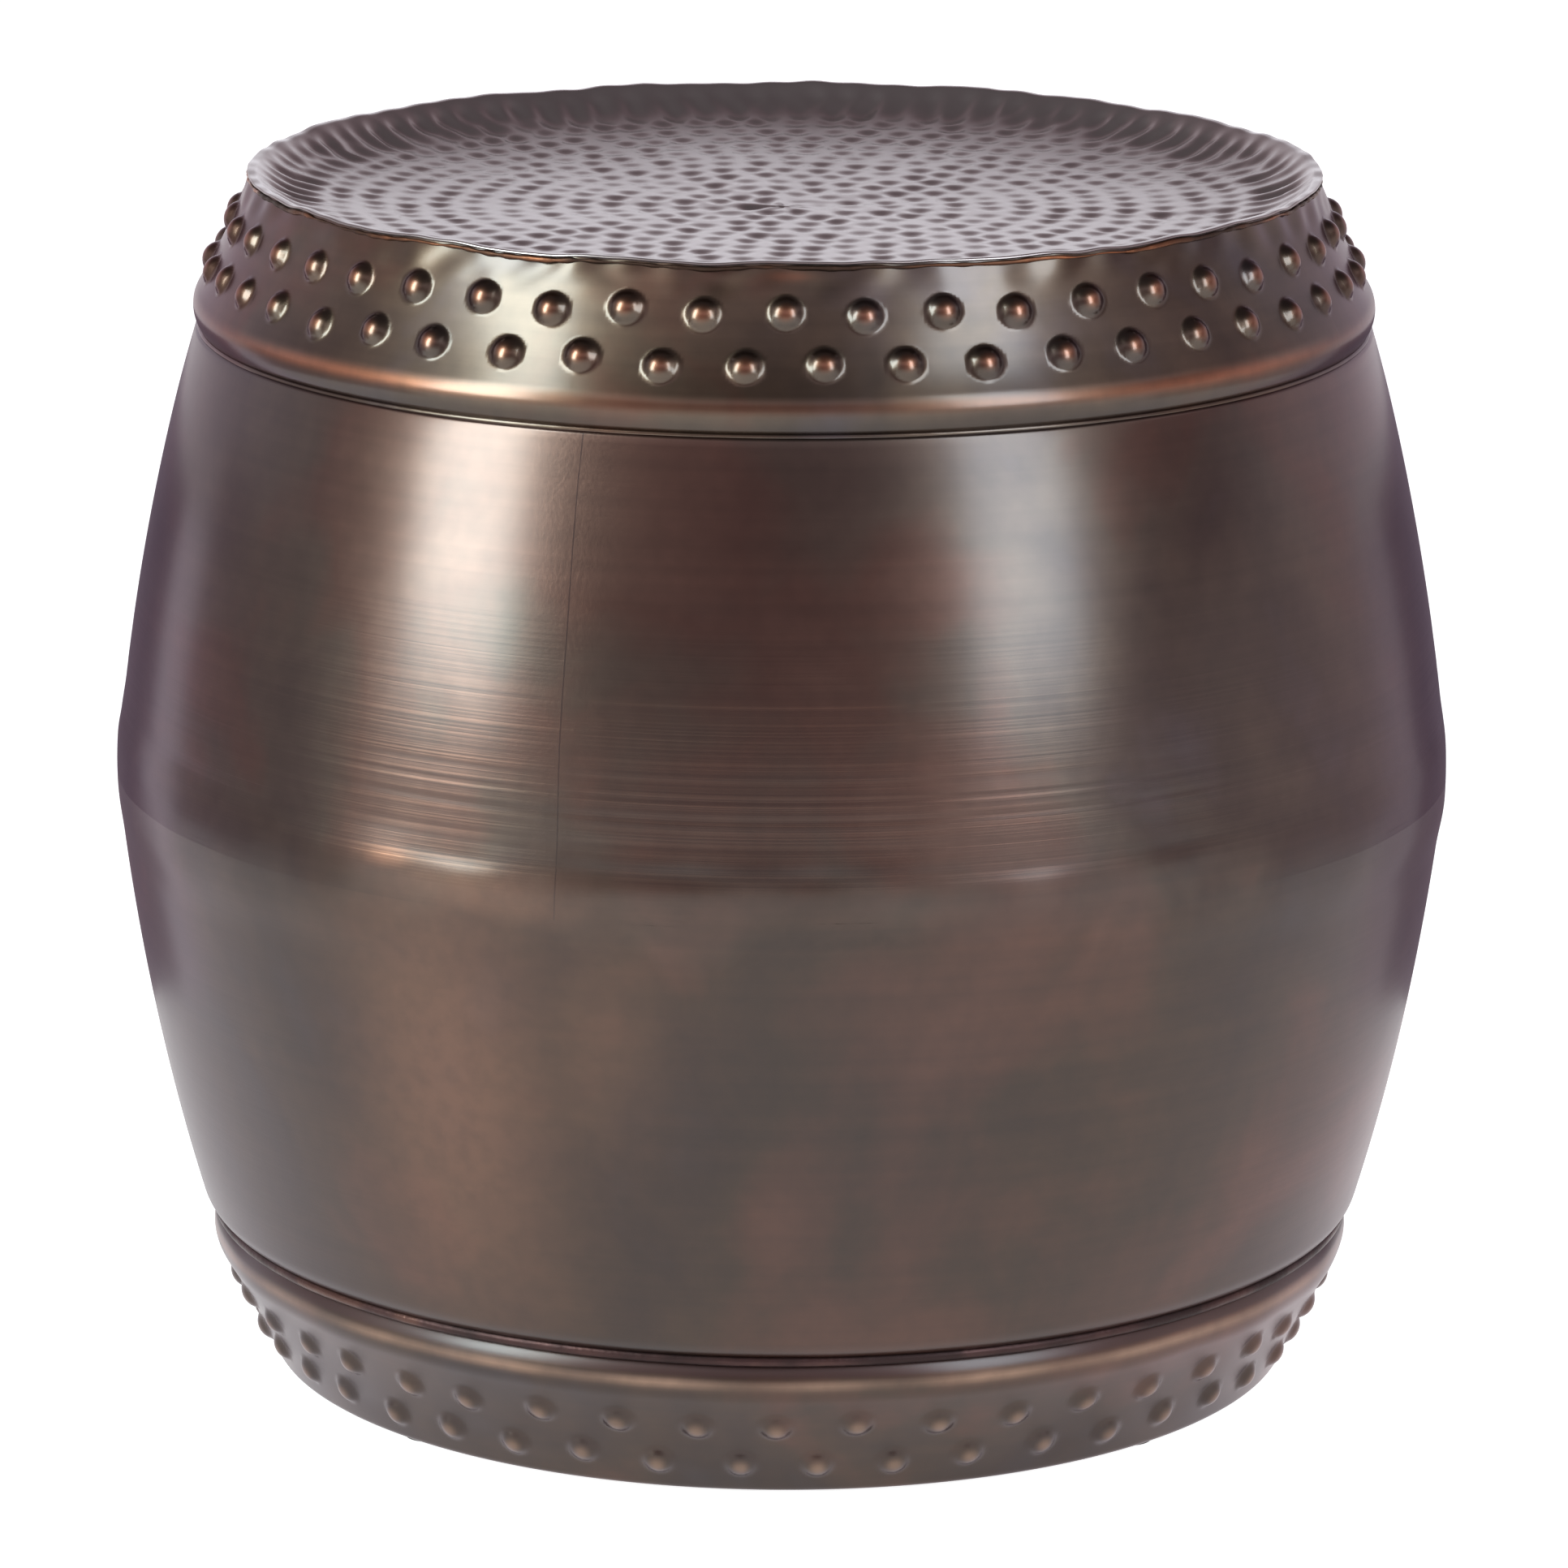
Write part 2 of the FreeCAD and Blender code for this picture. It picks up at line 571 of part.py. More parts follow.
NODES = [
    "hammered_tray", "rim_braze", "collar_band", "shoulder_braze", "upper_shell", "belly_weld", "belly_hoop",
    "lower_shell", "foot_braze", "foot_band", "brace_bar_over", "brace_bar_under", "floor_pads",
]


def write_nodes():
    """Checks every object of the document and writes each sub-part to its own file."""
    for item in document.Objects:
        if "Invalid" in item.State or "Error" in item.State:
            raise RuntimeError("%s is %s" % (item.Name, item.State))
    os.makedirs("parts", exist_ok=True)
    for name in NODES:
        part = document.getObject(name)
        part.Label = name
        if part.Shape.isNull() or not part.Shape.isValid() or not part.Shape.Solids:
            raise RuntimeError(name + " has no sound solid")
        part.Shape.exportStep("parts/%s.step" % name)
        bounds = part.Shape.BoundBox
        print("%-24s %2d solids %10.1f mm3  r %.2f  z %.2f to %.2f" % (
            name, len(part.Shape.Solids), part.Shape.Volume, bounds.XMax, bounds.ZMin, bounds.ZMax))


tray()
collar()
upper_shell()
belly_hoop()
lower_shell()
foot_band()
braze_and_weld()
brace_bars()
floor_pads()
document.recompute()
write_nodes()
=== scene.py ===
"""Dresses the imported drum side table: hammered and patinated sheets, brazed seams and a plain studio.

Sizes are in millimetres and angles in degrees, apart from those of the finishes and the studio, which are
in metres. A mesh is scaled to metres as it is made. A turn is an angle about the table's axis, in radians
from +X, and the front of the table faces -Y. A compass is an angle from the front, positive to the right.
"""

import logging
import math
from collections.abc import Iterable
from dataclasses import dataclass
from enum import Enum
from functools import cached_property

import bpy
import numpy as np
from mathutils import Matrix, Vector


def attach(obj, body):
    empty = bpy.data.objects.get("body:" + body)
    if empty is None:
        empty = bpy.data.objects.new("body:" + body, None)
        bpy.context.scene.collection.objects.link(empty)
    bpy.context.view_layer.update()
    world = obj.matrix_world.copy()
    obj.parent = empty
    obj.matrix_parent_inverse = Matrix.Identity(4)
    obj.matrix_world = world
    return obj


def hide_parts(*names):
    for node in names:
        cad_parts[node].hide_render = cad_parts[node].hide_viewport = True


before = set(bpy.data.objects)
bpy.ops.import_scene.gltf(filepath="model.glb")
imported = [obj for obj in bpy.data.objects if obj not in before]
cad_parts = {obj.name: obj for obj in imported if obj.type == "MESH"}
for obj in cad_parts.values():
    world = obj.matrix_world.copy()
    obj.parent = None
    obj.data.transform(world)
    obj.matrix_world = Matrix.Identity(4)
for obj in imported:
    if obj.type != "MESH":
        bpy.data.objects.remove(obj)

MM = 0.001
TURN = 2 * math.pi
FRONT = -math.pi / 2
UPRIGHT = 1e6  # wavelength of unevenness that is the same at every height
SHARP = math.radians(50.0)  # an edge that turns by more than this stays crisp
BODY = "root"

log = logging.getLogger("drum_table")

Place = tuple[float, float]
Range = tuple[float, float]
Colour = tuple[float, float, float, float]
Tones = tuple[str, str, str, str, str]
Numbers = np.ndarray | float
Socket = bpy.types.NodeSocket
Value = bpy.types.NodeSocket | float


class Mark(Enum):
    """What is painted on a mesh for its finish to read, numbered as it is stored: wear and soot, and at some
    places painted highlights and painted shade.
    """

    # rubbed copper, and in some patches a painted highlight of a lamp's sheen
    WORN = 0
    # soot in hollows, and in some rings and patches painted shade
    SUNK = 1


def smooth_step(value: Numbers, low: float, high: float) -> Numbers:
    """Rises smoothly from 0 at low to 1 at high.

    Args:
        value: The numbers to look up.
        low: Where the rise starts.
        high: Where the rise ends, which may be below low.

    Returns:
        The rise at each number.
    """
    share = np.clip((value - low) / (high - low), 0.0, 1.0)
    return share * share * (3.0 - 2.0 * share)


def hill(value: Numbers, middle: float, spread: float) -> Numbers:
    """Gives a bell of height 1 at middle that is nearly gone two spreads away."""
    return np.exp(-((value - middle) / spread) ** 2)


def bowl(off: np.ndarray) -> np.ndarray:
    """Gives the depth of a bowl, from 1 in its middle to 0 at its edge, where off is 1."""
    return (1.0 - np.minimum(off, 1.0) ** 2) ** 2


def wrapped(turn: np.ndarray) -> np.ndarray:
    """Brings turns to within half a turn of 0."""
    return (turn + math.pi) % TURN - math.pi


def no_marks(count: int) -> np.ndarray:
    """Gives the marks of so many points while nothing is painted."""
    return np.zeros((count, len(Mark)))


def tone(code: str) -> Colour:
    """Turns a screen colour into what a shader takes.

    Args:
        code: The colour in hexadecimal, after a hash sign.

    Returns:
        The linear colour, opaque.
    """
    shares = [int(code[at:at + 2], 16) / 255.0 for at in (1, 3, 5)]
    linear = [s / 12.92 if s <= 0.04045 else ((s + 0.055) / 1.055) ** 2.4 for s in shares]
    return (*linear, 1.0)


def added(name: str, data: bpy.types.ID) -> bpy.types.Object:
    """Adds an object to the scene.

    Args:
        name: Its name.
        data: Its mesh, lamp or camera.

    Returns:
        The object.
    """
    made = bpy.data.objects.new(name, data)
    bpy.context.scene.collection.objects.link(made)
    return made


@dataclass(frozen=True)
class Unevenness:
    """Smooth, repeatable unevenness of a hand-worked sheet: a sum of seeded waves about the axis.

    The slowest and the quickest wave are given in waves per turn, and wavelength is the shortest one up the
    table.
    """

    seed: int
    slowest: int
    quickest: int
    wavelength: float
    waves: int = 14

    @cached_property
    def drawn(self) -> tuple[np.ndarray, np.ndarray, np.ndarray]:
        """Draws the waves.

        Returns:
            Each one's count round the table, its lean up the table and its phase.
        """
        draw = np.random.default_rng(self.seed)
        around = draw.integers(self.slowest, self.quickest + 1, self.waves)
        lean = draw.uniform(-TURN / self.wavelength, TURN / self.wavelength, self.waves)
        return around, lean, draw.uniform(0.0, TURN, self.waves)

    def at(self, turn: np.ndarray, height: float = 0.0) -> np.ndarray:
        """Gives the unevenness along one ring.

        Args:
            turn: The ring's turns.
            height: The ring's place up the sheet.

        Returns:
            One number per turn, about 1 high.
        """
        around, lean, phase = self.drawn
        waves = np.sin(np.outer(turn, around) + lean * height + phase)
        return math.sqrt(2.0 / self.waves) * waves.sum(axis=1)


@dataclass(frozen=True)
class Run:
    """A straight run of a sheet's section, or an arc of it.

    A positive curve bends with its centre on the left of the way from start to end.
    """

    start: Place
    end: Place
    step: float
    curve: float = 0.0

    def points(self) -> np.ndarray:
        """Spaces points along the run.

        Returns:
            The points, with both ends.
        """
        start, end = np.array(self.start), np.array(self.end)
        chord = end - start
        span = float(np.hypot(*chord))
        if not self.curve:
            count = max(2, math.ceil(span / self.step) + 1)
            return start + np.linspace(0.0, 1.0, count)[:, None] * chord
        left = np.array([-chord[1], chord[0]]) / span
        off = math.copysign(math.sqrt(self.curve ** 2 - span ** 2 / 4), self.curve)
        centre = (start + end) / 2 + left * off
        opening = 2 * math.asin(span / 2 / abs(self.curve))
        count = max(2, math.ceil(opening * abs(self.curve) / self.step) + 1)
        first = math.atan2(*(start - centre)[::-1])
        angles = first + math.copysign(1.0, self.curve) * np.linspace(0.0, opening, count)
        return centre + abs(self.curve) * np.stack([np.cos(angles), np.sin(angles)], axis=1)


class Section:
    """The outer line of a sheet, as rows from one edge to the other with their outward normals."""

    def __init__(self, runs: Iterable[Run]) -> None:
        """Joins runs end to end.

        Args:
            runs: The runs, in order from the first edge.
        """
        pieces = [run.points() for run in runs]
        self.points = np.concatenate([pieces[0]] + [piece[1:] for piece in pieces[1:]])
        steps = np.diff(self.points, axis=0)
        lengths = np.hypot(steps[:, 0], steps[:, 1])
        self.along = np.concatenate([[0.0], np.cumsum(lengths)])
        ways = steps / lengths[:, None]
        ways = np.concatenate([ways[:1], ways[1:] + ways[:-1], ways[-1:]])
        ways /= np.hypot(ways[:, 0], ways[:, 1])[:, None]
        self.normals = np.stack([ways[:, 1], -ways[:, 0]], axis=1)

    def thinned(self, share: int) -> np.ndarray:
        """Picks every so many rows, with both edges kept."""
        rows = np.arange(0, len(self.points), share)
        return np.union1d(rows, [len(self.points) - 1])


class Ring:
    """One ring of points on a sheet: their turns, its place on the section, and what is painted on it."""

    def __init__(self, turn: np.ndarray, place: np.ndarray, along: float) -> None:
        """Starts an unpainted ring.

        Args:
            turn: The points' turns.
            place: Its radius and height.
            along: Its distance from the section's first edge.
        """
        self.turn = turn
        self.radius = float(place[0])
        self.height = float(place[1])
        self.along = float(along)
        self.marks = no_marks(len(turn))

    def paint(self, mark: Mark, share: Numbers) -> None:
        """Paints a mark where it is stronger than what is there."""
        column = self.marks[:, mark.value]
        np.maximum(column, share, out=column)


class RingStack:
    """A closed surface made of rings about the axis, each with its own number of points."""

    def __init__(self) -> None:
        """Starts with no rings."""
        self.rings: list[np.ndarray] = []
        self.marks: list[np.ndarray] = []

    def add(self, points: np.ndarray, marks: np.ndarray) -> None:
        """Adds the next ring, in millimetres, with one row of marks for each point."""
        self.rings.append(points)
        self.marks.append(marks)

    def faces_between(self, first: int, first_count: int, second: int, second_count: int) -> list[np.ndarray]:
        """Joins two neighbouring rings of equal size, or of which one has twice the points or is a tip.

        Args:
            first: Number of the first ring's first point.
            first_count: How many points it has.
            second: Number of the second ring's first point.
            second_count: How many points it has.

        Returns:
            Arrays of faces, with three or four corners each.
        """
        if first_count < second_count:
            swapped = self.faces_between(second, second_count, first, first_count)
            return [faces[:, ::-1] for faces in swapped]
        near = first + np.arange(first_count)
        ahead = np.roll(near, -1)
        if second_count == 1:
            return [np.stack([near, ahead, np.full_like(near, second)], axis=1)]
        far = second + np.arange(second_count)
        far_ahead = np.roll(far, -1)
        if first_count == second_count:
            return [np.stack([near, ahead, far_ahead, far], axis=1)]
        even, odd = near[0::2], near[1::2]
        next_even = np.roll(even, -1)
        return [
            np.stack([even, odd, far], axis=1),
            np.stack([odd, far_ahead, far], axis=1),
            np.stack([odd, next_even, far_ahead], axis=1),
        ]

    def piece(self, name: str, looped: bool) -> bpy.types.Object:
        """Makes the mesh and its object.

        Args:
            name: Name of the piece.
            looped: Whether the last ring joins the first again.

        Returns:
            The new object, in metres.
        """
        counts = [len(ring) for ring in self.rings]
        starts = np.concatenate([[0], np.cumsum(counts)])[:-1]
        pairs = [(at, at + 1) for at in range(len(counts) - 1)]
        if looped:
            pairs.append((len(counts) - 1, 0))
        groups: dict[int, list[np.ndarray]] = {3: [], 4: []}
        for one, two in pairs:
            for faces in self.faces_between(starts[one], counts[one], starts[two], counts[two]):
                groups[faces.shape[1]].append(faces)
        points = np.concatenate(self.rings) * MM
        stacks = [np.concatenate(group) for group in groups.values() if group]
        fans = [stack[:, [0, at, at + 1]] for stack in stacks for at in range(1, stack.shape[1] - 1)]
        one, two, three = (points[np.concatenate(fans)[:, at]] for at in range(3))
        if np.einsum("ij,ij->", one, np.cross(two, three)) < 0:
            stacks = [stack[:, ::-1] for stack in stacks]
        mesh = bpy.data.meshes.new(name)
        mesh.vertices.add(len(points))
        mesh.vertices.foreach_set("co", points.ravel())
        sizes = np.concatenate([np.full(len(stack), stack.shape[1]) for stack in stacks])
        loops = np.concatenate([stack.ravel() for stack in stacks])
        mesh.loops.add(len(loops))
        mesh.loops.foreach_set("vertex_index", loops.astype(np.int32))
        mesh.polygons.add(len(sizes))
        mesh.polygons.foreach_set("loop_start", (np.cumsum(sizes) - sizes).astype(np.int32))
        mesh.update(calc_edges=True)
        marks = np.concatenate(self.marks)
        for mark in Mark:
            layer = mesh.attributes.new(mark.name.lower(), "FLOAT", "POINT")
            layer.data.foreach_set("value", marks[:, mark.value].astype(np.float32))
        mesh.shade_smooth()
        return added(name, mesh)


@dataclass(frozen=True)
class Cloud:
    """A layer of noise: clouds per metre, octaves of finer noise, swirl, and squeeze along each axis."""

    scale: float
    detail: float = 3.0
    twist: float = 0.0
    squeeze: tuple[float, float, float] | None = None


class NodeSheet:
    """Adds and joins the nodes of one material or world."""

    def __init__(self, tree: bpy.types.NodeTree) -> None:
        """Starts on an emptied tree."""
        self.tree = tree
        self.tree.nodes.clear()

    def node(self, kind: str, inputs: dict | None = None, **settings: object) -> bpy.types.Node:
        """Adds a node.

        Args:
            kind: The node's type.
            inputs: What its sockets take, by name or number: another socket, or a plain value.
            settings: Its other properties.

        Returns:
            The node.
        """
        made = self.tree.nodes.new(kind)
        for key, value in settings.items():
            setattr(made, key, value)
        for key, value in (inputs or {}).items():
            if isinstance(value, bpy.types.NodeSocket):
                self.tree.links.new(value, made.inputs[key])
            else:
                made.inputs[key].default_value = value
        return made

    def place(self) -> Socket:
        """Gives the point on the piece, in metres in the table's frame."""
        return self.node("ShaderNodeTexCoord").outputs["Object"]

    def axes(self, vector: Socket) -> dict[str, Socket]:
        """Splits a vector into its X, Y and Z."""
        outputs = self.node("ShaderNodeSeparateXYZ", {0: vector}).outputs
        return {axis: outputs[axis] for axis in "XYZ"}

    def noise(self, vector: Socket, cloud: Cloud) -> Socket:
        """Looks up a layer of noise.

        Args:
            vector: Where it is looked up.
            cloud: The layer.

        Returns:
            Its value, which keeps mostly between 0.3 and 0.7.
        """
        if cloud.squeeze:
            inputs = {0: vector, 1: cloud.squeeze}
            vector = self.node("ShaderNodeVectorMath", inputs, operation="MULTIPLY").outputs[0]
        inputs = {"Vector": vector, "Scale": cloud.scale, "Detail": cloud.detail, "Distortion": cloud.twist}
        return self.node("ShaderNodeTexNoise", inputs).outputs["Fac"]

    def maths(self, operation: str, one: Value, two: Value = 0.0) -> Socket:
        """Combines two values."""
        return self.node("ShaderNodeMath", {0: one, 1: two}, operation=operation).outputs[0]

    def times(self, one: Value, *others: Value) -> Socket:
        """Multiplies values.

        Args:
            one: The first value.
            others: The values that follow it.

        Returns:
            The product.
        """
        for other in others:
            one = self.maths("MULTIPLY", one, other)
        return one

    def blended(self, one: Value, two: Value, share: float) -> Socket:
        """Adds a share of one value to the rest of another."""
        return self.maths("ADD", self.times(one, share), self.times(two, 1.0 - share))

    def spread(
        self, value: Value, low: float, high: float, out_low: float = 0.0, out_high: float = 1.0
    ) -> Socket:
        """Maps low to high onto out_low to out_high, held at both ends."""
        inputs = {"Value": value, "From Min": low, "From Max": high, "To Min": out_low, "To Max": out_high}
        return self.node("ShaderNodeMapRange", inputs).outputs["Result"]

    def swing(self, noise: Socket, by: float, about: float = 1.0, reach: float = 0.2) -> Socket:
        """Swings by an amount about a number as a noise goes a reach below and above its middle."""
        return self.spread(noise, 0.5 - reach, 0.5 + reach, about - by, about + by)

    def ramp(self, value: Socket, stops: Iterable[tuple[float, str]]) -> Socket:
        """Colours a value.

        Args:
            value: From 0 to 1.
            stops: The places and screen colours between which it runs.

        Returns:
            The colour.
        """
        made = self.node("ShaderNodeValToRGB", {"Fac": value})
        elements = made.color_ramp.elements
        while len(elements) > 1:
            elements.remove(elements[-1])
        for at, (place, code) in enumerate(stops):
            element = elements[0] if at == 0 else elements.new(place)
            element.position = place
            element.color = tone(code)
        return made.outputs["Color"]

    def mixed(self, share: Value, one: Socket | Colour, two: Socket | Colour, blend: str = "MIX") -> Socket:
        """Lays colour two over colour one by a share."""
        made = self.node("ShaderNodeMix", {0: share, 6: one, 7: two}, data_type="RGBA", blend_type=blend)
        return made.outputs[2]

    def mark(self, mark: Mark) -> Socket:
        """Reads a mark painted on the mesh."""
        return self.node("ShaderNodeAttribute", attribute_name=mark.name.lower()).outputs["Fac"]

    def bumped(self, height: Socket, distance: float, under: Socket | None = None) -> Socket:
        """Raises the surface by a height.

        Args:
            height: From 0 to 1.
            distance: Rise in metres at a height of 1.
            under: Another bump's normal, below this one.

        Returns:
            The normal.
        """
        inputs = {"Height": height, "Distance": distance}
        if under is not None:
            inputs["Normal"] = under
        return self.node("ShaderNodeBump", inputs).outputs["Normal"]

    def finish(self, shader: Socket) -> None:
        """Joins the shader to the output."""
        self.node("ShaderNodeOutputMaterial", {"Surface": shader})


class MaterialSheet(NodeSheet):
    """The nodes of a new material."""

    def __init__(self, name: str) -> None:
        """Starts an empty material.

        Args:
            name: Its name.
        """
        self.material = bpy.data.materials.new(name)
        self.material.use_nodes = True
        super().__init__(self.material.node_tree)

    def finish(self, shader: Socket) -> bpy.types.Material:
        """Joins the shader to the output and gives the material."""
        super().finish(shader)
        return self.material

    def surface(self, inputs: dict) -> bpy.types.Material:
        """Makes a solid surface of what its sockets take, and gives the material."""
        return self.finish(self.node("ShaderNodeBsdfPrincipled", inputs).outputs[0])


@dataclass(frozen=True)
class Patina:
    """Antiqued copper: a mottled brown skin under lacquer, rubbed bright on crests and dark in hollows; some
    of its marks are painted highlights and painted shade.

    The tones run from the coolest to the ruddiest, with low tones below the belly where there are any. A
    seam is a turn at which the sheet's ends meet. The change, in height, is where low tones give way, and the
    lathe's lines are strongest between the two heights of turned.
    """

    name: str
    tones: Tones
    low_tones: Tones | None = None
    tone_places: tuple[float, ...] = (0.3, 0.42, 0.5, 0.58, 0.7)
    seam: float | None = None
    # Tone of the wear-and-sheen mark: rubbed copper, and a painted highlight where patches paint a lamp's
    # sheen.
    worn: str = "#a5745a"
    # Tone of the soot-and-shade mark: soot in hollows, and painted shade under the bead, in the foot's
    # groove, along the belly's crease and on the lower half.
    sunk: str = "#1e1718"
    cloud_scale: float = 6.0
    cloud_detail: float = 3.0
    cloud_twist: float = 0.9
    cloud_share: float = 0.68
    cloud_reach: Range = (0.3, 0.7)
    patch_fineness: float = 3.1
    patch_detail: float = 5.0
    patch_twist: float = 0.4
    streaks: Cloud = Cloud(1.0, 4.0, squeeze=(3.0, 3.0, 220.0))
    streak_reach: float = 0.25
    streak_share: float = 0.12
    drips: Cloud = Cloud(1.0, 3.0, squeeze=(42.0, 42.0, 3.5))
    drip_share: float = 0.07
    specks: Cloud = Cloud(150.0, 4.0)
    speck_share: float = 0.07
    rubbed_specks: Range = (0.3, 0.6)
    rubbed_least: float = 0.8
    roughness: float = 0.29
    low_roughness: float = 0.36
    cool_roughness: float = 0.05
    ruddy_roughness: float = -0.03
    soot_roughness: float = 0.25
    change: Range = (0.206, 0.232)
    change_sway: float = 0.012
    turned: Range = (0.228, 0.268)
    turned_fade: Range = (0.01, 0.05)
    turned_rest: float = 0.2
    turning: float = 0.00032
    broad_lines: Cloud = Cloud(1.0, 3.0, squeeze=(1.2, 1.2, 420.0))
    fine_lines: Cloud = Cloud(1.0, 2.0, squeeze=(2.4, 2.4, 900.0))
    broad_share: float = 0.7
    grains: Cloud = Cloud(900.0, 2.0)
    grain: float = 0.000008
    seam_wander: Cloud = Cloud(9.0, 1.0)
    seam_sway: float = 0.004
    seam_width: float = 0.0012
    seam_depth: float = 0.00014
    seam_soot: float = 0.3
    pebbles: Cloud = Cloud(620.0, 2.0)
    pebble_reach: Range = (0.13, 0.02)
    pebble_depth: float = 0.00005
    edge: Colour = (0.6, 0.5, 0.58, 1.0)
    lacquer: float = 0.52
    lacquer_bend: float = 1.8
    lacquer_roughness: float = 0.23

    def skin(self, sheet: NodeSheet, place: Socket, blend: Socket, high: Socket) -> Socket:
        """Colours the skin.

        Args:
            sheet: The material's nodes.
            place: The point on the piece.
            blend: The clouds that sort the tones.
            high: From 0 below the belly to 1 above it.

        Returns:
            The colour.
        """
        specks = sheet.noise(place, self.specks)
        shade = sheet.times(
            sheet.swing(sheet.noise(place, self.streaks), self.streak_share, reach=self.streak_reach),
            sheet.swing(sheet.noise(place, self.drips), self.drip_share),
            sheet.swing(specks, self.speck_share),
        )
        grey = sheet.node("ShaderNodeCombineColor", {0: shade, 1: shade, 2: shade}).outputs[0]
        skin = sheet.ramp(blend, zip(self.tone_places, self.tones))
        if self.low_tones:
            skin = sheet.mixed(high, sheet.ramp(blend, zip(self.tone_places, self.low_tones)), skin)
        skin = sheet.mixed(1.0, skin, grey, "MULTIPLY")
        flecks = sheet.spread(specks, *self.rubbed_specks, self.rubbed_least, 1.0)
        # Rubbed copper and painted highlights, where the wear-and-sheen mark is painted.
        skin = sheet.mixed(sheet.times(sheet.mark(Mark.WORN), flecks), skin, tone(self.worn))
        # Soot and painted shade, where the soot-and-shade mark is painted; the seam's line is soot only.
        sooted = sheet.mark(Mark.SUNK)
        if self.seam is not None:
            line = sheet.spread(self.off_seam(sheet, place), self.seam_width, 0.0, 0.0, self.seam_soot)
            sooted = sheet.maths("MAXIMUM", sooted, line)
        return sheet.mixed(sooted, skin, tone(self.sunk))

    def off_seam(self, sheet: NodeSheet, place: Socket) -> Socket:
        """Gives how far a point lies from the seam.

        Args:
            sheet: The material's nodes.
            place: The point on the piece.

        Returns:
            The way round the table, in radians.
        """
        axes = sheet.axes(place)
        sway = sheet.swing(sheet.noise(place, self.seam_wander), self.seam_sway, 0.0)
        turn = sheet.maths("ADD", sheet.maths("ARCTAN2", axes["Y"], axes["X"]), sway)
        return sheet.maths("ABSOLUTE", sheet.maths("SUBTRACT", turn, self.seam))

    def normal(self, sheet: NodeSheet, place: Socket, height: Socket) -> Socket:
        """Raises the lathe's lines, strongest in the turned band, a fine grain and the seam.

        Args:
            sheet: The material's nodes.
            place: The point on the piece.
            height: Its height.

        Returns:
            The normal.
        """
        broad, fine = sheet.noise(place, self.broad_lines), sheet.noise(place, self.fine_lines)
        lines = sheet.blended(broad, fine, self.broad_share)
        low, high = self.turned
        above = sheet.spread(height, low - self.turned_fade[0], low)
        below = sheet.spread(height, high + self.turned_fade[1], high)
        band = sheet.spread(sheet.times(above, below), 0.0, 1.0, self.turned_rest, 1.0)
        normal = sheet.bumped(sheet.times(sheet.maths("SUBTRACT", lines, 0.5), band), self.turning)
        normal = sheet.bumped(sheet.noise(place, self.grains), self.grain, normal)
        if self.seam is None:
            return normal
        off = self.off_seam(sheet, place)
        pebbles = sheet.times(sheet.noise(place, self.pebbles), sheet.spread(off, *self.pebble_reach))
        normal = sheet.bumped(pebbles, self.pebble_depth, normal)
        return sheet.bumped(sheet.spread(off, self.seam_width, 0.0), self.seam_depth, normal)

    def rough(self, sheet: NodeSheet, blend: Socket, high: Socket) -> Socket:
        """Gives the roughness of the skin.

        Args:
            sheet: The material's nodes.
            blend: The clouds that sort the tones.
            high: From 0 below the belly to 1 above it.

        Returns:
            The roughness.
        """
        rough = self.roughness
        if self.low_tones:
            rough = sheet.spread(high, 0.0, 1.0, self.low_roughness, self.roughness)
        clouded = sheet.spread(blend, *self.cloud_reach, self.cool_roughness, self.ruddy_roughness)
        sooted = sheet.times(sheet.mark(Mark.SUNK), self.soot_roughness)
        return sheet.maths("ADD", sheet.maths("ADD", rough, clouded), sooted)

    def material(self) -> bpy.types.Material:
        """Makes the material, or finds it where another piece has it.

        Returns:
            The material.
        """
        known = bpy.data.materials.get(self.name)
        if known:
            return known
        sheet = MaterialSheet(self.name)
        place = sheet.place()
        height = sheet.axes(place)["Z"]
        clouds = sheet.noise(place, Cloud(self.cloud_scale, self.cloud_detail, self.cloud_twist))
        finer = Cloud(self.cloud_scale * self.patch_fineness, self.patch_detail, self.patch_twist)
        patches = sheet.noise(place, finer)
        blend = sheet.blended(clouds, patches, self.cloud_share)
        swayed = sheet.maths("ADD", height, sheet.swing(patches, self.change_sway, 0.0))
        high = sheet.spread(swayed, *self.change)
        return sheet.surface({
            "Base Color": self.skin(sheet, place, blend, high),
            "Roughness": self.rough(sheet, blend, high),
            "Normal": self.normal(sheet, place, height),
            "Metallic": 1.0,
            "Specular Tint": self.edge,
            "Coat Weight": self.lacquer,
            "Coat IOR": self.lacquer_bend,
            "Coat Roughness": self.lacquer_roughness,
        })


@dataclass(frozen=True)
class Braze:
    """Filler metal: orange copper, scaled and sooted where the torch ran."""

    name: str = "braze"
    bright: str = "#8f5a3e"
    middling: str = "#5e3d2c"
    dull: str = "#3a2a22"
    tone_places: tuple[float, float, float] = (0.42, 0.55, 0.66)
    clean_roughness: float = 0.34
    sooty_roughness: float = 0.57
    metal: float = 0.9
    soot: Cloud = Cloud(24.0, 4.0, 0.6)
    soot_reach: Range = (0.35, 0.65)
    scale: Cloud = Cloud(420.0, 3.0)
    scale_depth: float = 0.0002

    def material(self) -> bpy.types.Material:
        """Makes the material.

        Returns:
            The material.
        """
        sheet = MaterialSheet(self.name)
        place = sheet.place()
        soot = sheet.noise(place, self.soot)
        return sheet.surface({
            "Base Color": sheet.ramp(soot, zip(self.tone_places, (self.dull, self.middling, self.bright))),
            "Roughness": sheet.spread(soot, *self.soot_reach, self.sooty_roughness, self.clean_roughness),
            "Normal": sheet.bumped(sheet.noise(place, self.scale), self.scale_depth),
            "Metallic": self.metal,
        })


